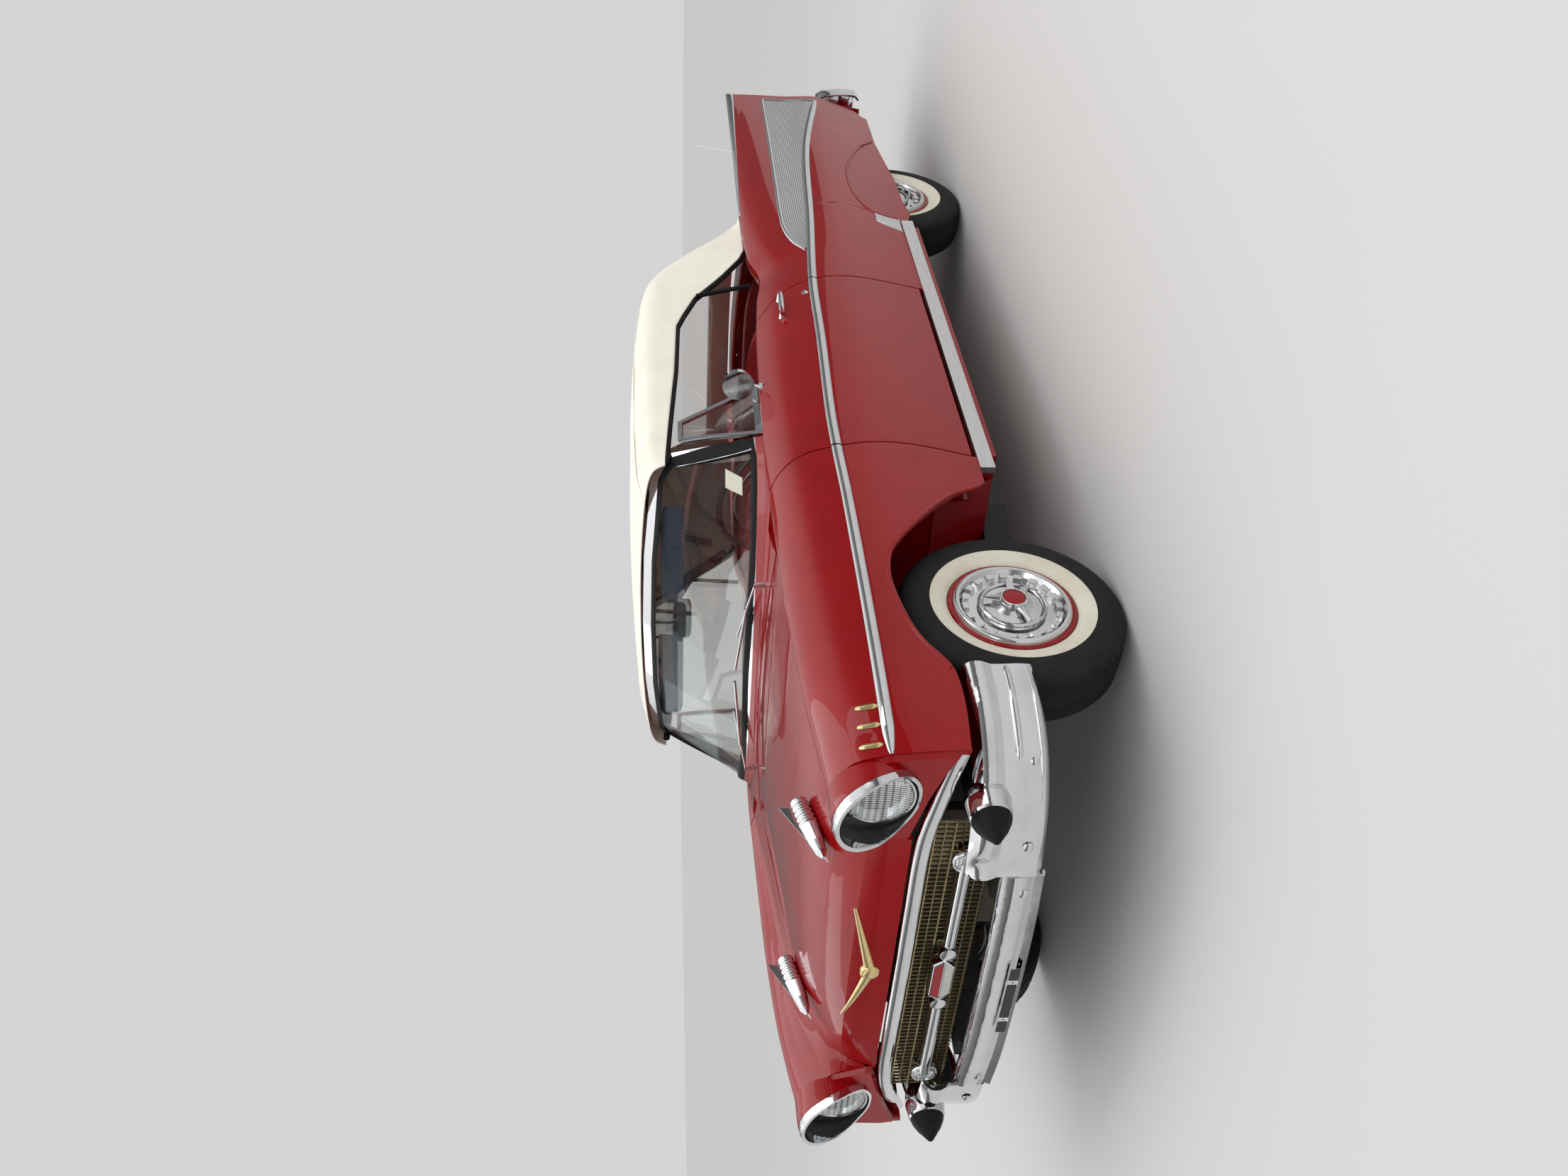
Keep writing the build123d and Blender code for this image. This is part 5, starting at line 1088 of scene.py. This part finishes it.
cabin = dict(visorX=290, visorAt=(938, 1326), visor=(212, 7, 42),
             mirrorAt=(0, 922, 1281), mirror=(92, 10, 27),
             stalk=[(0, 903, 1408), (0, 906, 1350), (0, 918, 1300), (0, 921, 1282)],
             arm=[(90, 905, 1410), (90, 920, 1385), (92, 937, 1364)],
             dials=((272, 27), (370, 46), (468, 27)), dialsAt=(1014, 992), dialsWay=(0, 1, -0.16))
visors = Shape()
for side in (1, -1):
    visors.closed(slab((side * cabin["visorX"], *cabin["visorAt"]), cabin["visor"]))
visors.make("visors", "car_body", "black_plastic", "visor_blue", sharp=60, replaces=("visors_and_mirror",))
mirror = Shape().closed(slab(cabin["mirrorAt"], cabin["mirror"], 0.45))
mirror.tube(carried(ring(5.5), curve(cabin["stalk"], 30), up=(1, 0, 0)))
for side in (1, -1):
    arm = np.array(cabin["arm"]) * (side, 1, 1)
    mirror.tube(carried(ring(4.5), curve(arm, 20), up=(1, 0, 0)))
mirror.make("insideMirror", "car_body", "black_plastic", sharp=60)

helm = dict(hub=(370, 1190, 965), rake=27.7, rim=212, tube=12.2, grip=0.9, grips=84, horn=138, hornTube=4.2,
            cap=[(22, 0), (22, 42), (27, 42), (33, 37), (38, 28), (41, 14), (42, 0)])
axis = np.array([0, cos(radians(helm["rake"])), sin(radians(helm["rake"]))])
across = np.array([1.0, 0, 0])
up = np.cross(axis, across)


def hoop(radius, tube, rise=0.0, count=(252, 14)):
    # round ring about the wheel's axis; tube gives its thickness at each angle
    a = (np.arange(count[0]) * 2 * pi / count[0])[:, None]
    b = (np.arange(count[1]) * 2 * pi / count[1])[None]
    r, h = radius + tube(a) * np.cos(b), rise + tube(a) * np.sin(b)
    way = np.cos(a)[..., None] * across + np.sin(a)[..., None] * up
    return np.array(helm["hub"], float) + r[..., None] * way + h[..., None] * axis


def gripped(a):
    return helm["tube"] + helm["grip"] * np.cos(helm["grips"] * a) * (np.sin(a) > -0.95)


Shape().grid(hoop(helm["rim"], gripped, count=(1008, 14)), wrapRows=True, wrapCols=True).make(
    "wheelGrip", "steering", "black_plastic", sharp=60)
horn = Shape().grid(hoop(helm["horn"], lambda a: helm["hornTube"] + 0 * a, 16), wrapRows=True, wrapCols=True)
horn.closed(lathe(helm["cap"], helm["hub"], axis, 48))
for side in (1, -1):
    reach = np.linspace(30, helm["horn"], 20)[:, None]
    path = np.array(helm["hub"], float) + axis * 18 + side * across * reach
    horn.tube(carried(ring(4, 10, 9), path, up=axis))
horn.make("hornRing", "steering", "chrome_trim")
dials = Shape()
for x, radius in cabin["dials"]:
    bezel = [(0, 0), (0, radius + 3), (4, radius + 2), (5, radius - 1), (2, radius - 3), (1.5, 0)]
    dials.closed(lathe(bezel, (x, *cabin["dialsAt"]), cabin["dialsWay"], 48))
dials.make("dials", "car_body", "chrome_trim")
print("cabin fittings")


# Soft top: one sheet from hem to hem, open round the rear window

topRows = [
    (925, 800, 1010, 735, 1180, 690, 1340, 656, 1395, 560, 1420, 300, 1440, 0, 1446),
    (1100, 800, 1010, 745, 1180, 708, 1345, 682, 1412, 600, 1446, 320, 1470, 0, 1477),
    (1500, 800, 1010, 752, 1170, 716, 1345, 690, 1422, 610, 1462, 330, 1487, 0, 1494),
    (1950, 802, 1010, 756, 1160, 720, 1335, 692, 1420, 610, 1464, 330, 1492, 0, 1500),
    (2350, 804, 1015.6, 766, 1130, 722, 1285, 686, 1390, 600, 1444, 330, 1477, 0, 1486),
    (2560, 796, 1017.6, 757, 1090, 716, 1205, 668, 1300, 580, 1370, 330, 1415, 0, 1428),
    (2760, 772, 1018, 738, 1040, 700, 1100, 645, 1170, 550, 1222, 320, 1262, 0, 1274),
    (2900, 742, 1016, 712, 1014, 676, 1038, 615, 1068, 530, 1094, 310, 1118, 0, 1126),
    (2985, 700, 1006, 672, 1003, 640, 1009, 590, 1018, 510, 1028, 300, 1038, 0, 1041),
]
hem = [(900, 1352), (961, 1352), (1157, 1340), (1523, 1316), (1859, 1306), (1941, 1282), (2076, 1232),
       (2219, 1116), (2330, 1039), (2420, 1008), (2450, 990)]
rear = dict(glass=[(-430, 1130), (430, 1130), (400, 1345), (-400, 1345)], middle=(0, 1237), size=(420, 108),
            inset=4, ahead=2400, cut=0.83 * 0.23)


def topSurface(s, q):
    # the canopy's section at station s, hem at q 0 and ridge at q 6, carried on past the ridge for its slope
    keys = np.stack([smooth(topRows, s, k) for k in range(1, 15)], -1).reshape(s.shape + (7, 2))
    over = keys[..., 5:6, :] * (-1, 1)
    flat = through(np.concatenate([keys, over], -2), q)
    return np.stack([flat[..., 0], s, flat[..., 1]], -1)


def topRear(x, z):
    # point of the canopy's rear slope seen from behind at (|x|, z)
    x, z = np.asarray(x, float), np.asarray(z, float)
    wide = np.abs(x)

    def across(s):
        return solved(-wide, lambda q: -topSurface(s, q)[..., 0], 2, 6)

    def down(s):
        return -topSurface(s, across(s))[..., 2]
    s = solved(-z, down, 2300, 2980)
    point = topSurface(s, across(s))
    point[..., 0] = x
    return point


def inGlass(p):
    # inside the rear window, a little in from its edge
    wide = readOff([(z, x) for x, z in rear["glass"][1:3]], p[:, 2])
    low, high = rear["glass"][1][1] + rear["inset"], rear["glass"][2][1] - rear["inset"]
    inside = (np.abs(p[:, 0]) < wide - rear["inset"]) & (p[:, 1] > rear["ahead"])
    return inside & (p[:, 2] > low) & (p[:, 2] < high)


s = np.linspace(928, 2985, 220)
edge = readOff(hem, s)
first = solved(edge, lambda q: topSurface(s, q)[..., 2], 0, 3.2)
first = np.where(s > 2440, 0.0, first)
q = first[:, None] + (6 - first[:, None]) * np.linspace(0, 1, 84)[None]
left = topSurface(s[:, None] + 0 * q, q)
canopy = np.concatenate([left, (left * (-1, 1, 1))[:, -2::-1]], 1)
# slack between the bows: a shallow dip that fades out at the sides
dip = 3.5 * np.sin(pi * (canopy[..., 1] - 1450) / 500) ** 2 * (canopy[..., 1] < 2380)
canopy[..., 2] -= dip * np.clip((canopy[..., 2] - 1380) / 60, 0, 1)
cover = Shape().grid(canopy, hole=inGlass).make(
    "softTop", "car_body", "top_cloth", wall=3.0, replaces=("soft_top",), sharp=80)
spanned = np.linalg.norm(np.diff(canopy, axis=1), axis=-1).sum(1).max() / 1000
length = np.linalg.norm(np.diff(canopy[:, 83], axis=0), axis=-1).sum() / 1000
cells = np.cross(canopy[1:, 1:] - canopy[:-1, :-1], canopy[1:, :-1] - canopy[:-1, 1:]) / 2e6
clothArea = float(np.linalg.norm(cells, axis=-1).sum() - rear["cut"])
seamsOver = Shape()
for side in (1, -1):
    s = np.linspace(934, 2960, 180)
    wide = np.interp(s, [934, 1500, 2350, 2960], [520, 560, 545, 470])
    q = solved(-wide, lambda q: -topSurface(s, q)[..., 0], 2, 6)
    path = topSurface(s, q) * (side, 1, 1) + (0, 0, 0.5)
    seamsOver.tube(carried(ring(5, 8, 2.4), path))
seamsOver.make("topSeams", "car_body", "top_cloth")
# black rail and weatherstrip under the hem of each side opening
rails = Shape()
for side in (1, -1):
    s = even(np.array([row for row in hem if 950 < row[0] < 2430], float), 200)[:, 0]
    at = readOff(hem, s)
    q = solved(at, lambda q: topSurface(s, q)[..., 2], 0, 3.2)
    path = topSurface(s, q) - (13, 0, 3)
    rails.tube(carried(ring(10, 12, 13), path) * (side, 1, 1))
    post = np.linspace((side * 742, 2084, 1222), (side * 778, 2112, 1002), 20)
    rails.tube(carried(ring(9, 12), post, up=(0, 1, 0)))
rails.make("sideRails", "car_body", "black_rubber")
outline = even(rear["glass"] + rear["glass"][:1], 160)
rows = []
for grow in (-16, -15, 15, 16):
    wide = outline + (outline - rear["middle"]) * (grow / np.array(rear["size"]))
    rows.append(topRear(wide[:, 0], wide[:, 1]) + (0, 0.5, 1.5 if abs(grow) < 16 else -1))
Shape().closed(np.stack(rows)[:, :-1], (0, 1, 0.5)).make("windowBorder", "car_body", "top_cloth")
print("soft top")


# Vent windows, skirt lips and stone shields

vent = dict(foot=(800, 1016.6), lean=0.2985, thick=12,
            outline=[(940, 0), (1250, 0), (1250, 40), (1150, 300), (1030, 300)],
            glass=[(966, 22), (1232, 22), (1232, 24), (1136, 284), (1042, 284)])


def ventPoint(flat, out):
    # (station, height) on the leaning plane, moved out by its thickness
    flat = np.asarray(flat, float)
    c, s = cos(vent["lean"]), sin(vent["lean"])
    x, z = vent["foot"]
    return np.stack([x - flat[:, 1] * s + out * c, flat[:, 0], z + flat[:, 1] * c + out * s], -1)


skirtLine = [(2521, 345), (2557, 447), (2657, 499), (2804, 526), (2981, 522), (3144, 490), (3341, 417),
             (3432, 352)]
shield = dict(front=2400, lean=70, rear=2528, follow=26, low=339, high=108, proud=4.0)
for name, low, side, flip in sides:
    loops = [("outline", 0), ("outline", vent["thick"]), ("glass", vent["thick"]), ("glass", 0)]
    loops = [ventPoint(vent[key], out) for key, out in loops]
    frameShape = Shape().grid(np.stack(loops) * flip, wrapRows=True, wrapCols=True)
    frameShape.make("ventFrame" + name, low + "_door", "chrome_trim", replaces=("vent_window_" + low,))
    pane = ventPoint(vent["glass"], 6)[[0, 1, 3, 4]].reshape(2, 2, 3)
    pane = np.stack([pane[0], pane[1][::-1]])
    Shape().grid(pane * flip).make("ventGlass" + name, low + "_door", "clear_glass", wall=4.0)
    line = curve(skirtLine, 240)
    lip = carried(ring(6, 10), onSide(line[:, 0], line[:, 1], 0.5))
    Shape().tube(lip * flip).make("skirtLip" + name, "car_body", "body_paint")
    u, v = shares(24, 24)
    front = shield["front"] + shield["lean"] * v**1.3
    s = front + (shield["rear"] + shield["follow"] * v - front) * u
    plate = onSide(s, shield["low"] + shield["high"] * v + 0 * u, shield["proud"])
    Shape().grid(plate * flip).make("stoneShield" + name, "car_body", "chrome_trim", wall=3.0)
print("vents, lips and shields")


# Seats and inside trim

def pillow(centre, half, lean=0.0, channels=9, deep=7.0, front=(0, 0, 1), count=(72, 150)):
    # rounded slab; narrow bells sink channels across its face
    p = slab(0.0, 1.0, 0.42, count)
    face = np.clip(p @ np.asarray(front, float), 0, 1)
    inside = np.clip(1.25 - np.abs(p[..., 0]), 0, 1) > 0.4
    pitch = 2 / channels
    off = np.abs((p[..., 0] / pitch + 0.5) % 1 - 0.5) * pitch * half[0]
    sink = deep * np.exp(-(off / 7.0) ** 2) * face**3 * inside
    p = p * half - sink[..., None] * np.asarray(front, float)
    t = radians(lean)
    turn = np.array([[1, 0, 0], [0, cos(t), -sin(t)], [0, sin(t), cos(t)]])
    return p @ turn.T + centre


cushions = (
    ("frontCushion", (0, 1605, 505), (690, 285, 70), 4, (0, 0, 1), ("front_seat",)),
    ("frontBack", (0, 1985, 775), (690, 72, 245), -10, (0, -1, 0), ()),
    ("rearCushion", (0, 2455, 500), (556, 190, 66), 3, (0, 0, 1), ("rear_seat",)),
    ("rearBack", (0, 2672, 775), (575, 55, 212), -8, (0, -1, 0), ()),
)
for name, centre, half, lean, front, nodes in cushions:
    seat = Shape().closed(pillow(centre, half, lean, front=front)).make(
        name, "car_body", "seat_vinyl", replaces=nodes, sharp=60)
inside = dict(x=834, front=720, long=1080, low=380, high=560, pleat=3, pitch=60, pleated=(0.25, 0.8),
              rest=[(812, 1150, 720), (812, 1600, 720)])
for name, low, side, flip in sides:
    u, v = shares(60, 40)
    s, z = inside["front"] + inside["long"] * u + 0 * v, inside["low"] + inside["high"] * v + 0 * u
    pleat = inside["pleat"] * np.abs(np.sin(pi * s / inside["pitch"]))
    pleat *= (v > inside["pleated"][0]) & (v < inside["pleated"][1])
    inner = np.stack([inside["x"] - pleat + 0 * s, s, z], -1)
    rest = np.linspace(*inside["rest"], 30)
    rest = carried(ring(22, 14, 26), rest, size=tapered(30, 0.4, 0.4, 0.15))
    Shape().grid(inner * flip, facing=(-side, 0, 0)).tube(rest * flip).make(
        "doorTrim" + name, low + "_door", "seat_vinyl")
print("seats and inside trim")


# Finishes of the car's own nodes

ownFinish = dict(windscreen_frame="screen_frame")


def dressNodes():
    for part in frame["record"]["subparts"]:
        mesh = frame["nodes"][part["node"]].data
        mesh.materials.clear()
        mesh.materials.append(finishes[ownFinish.get(part["node"], part["material_slot"])])


dressNodes()
print("finishes on the car's own parts")
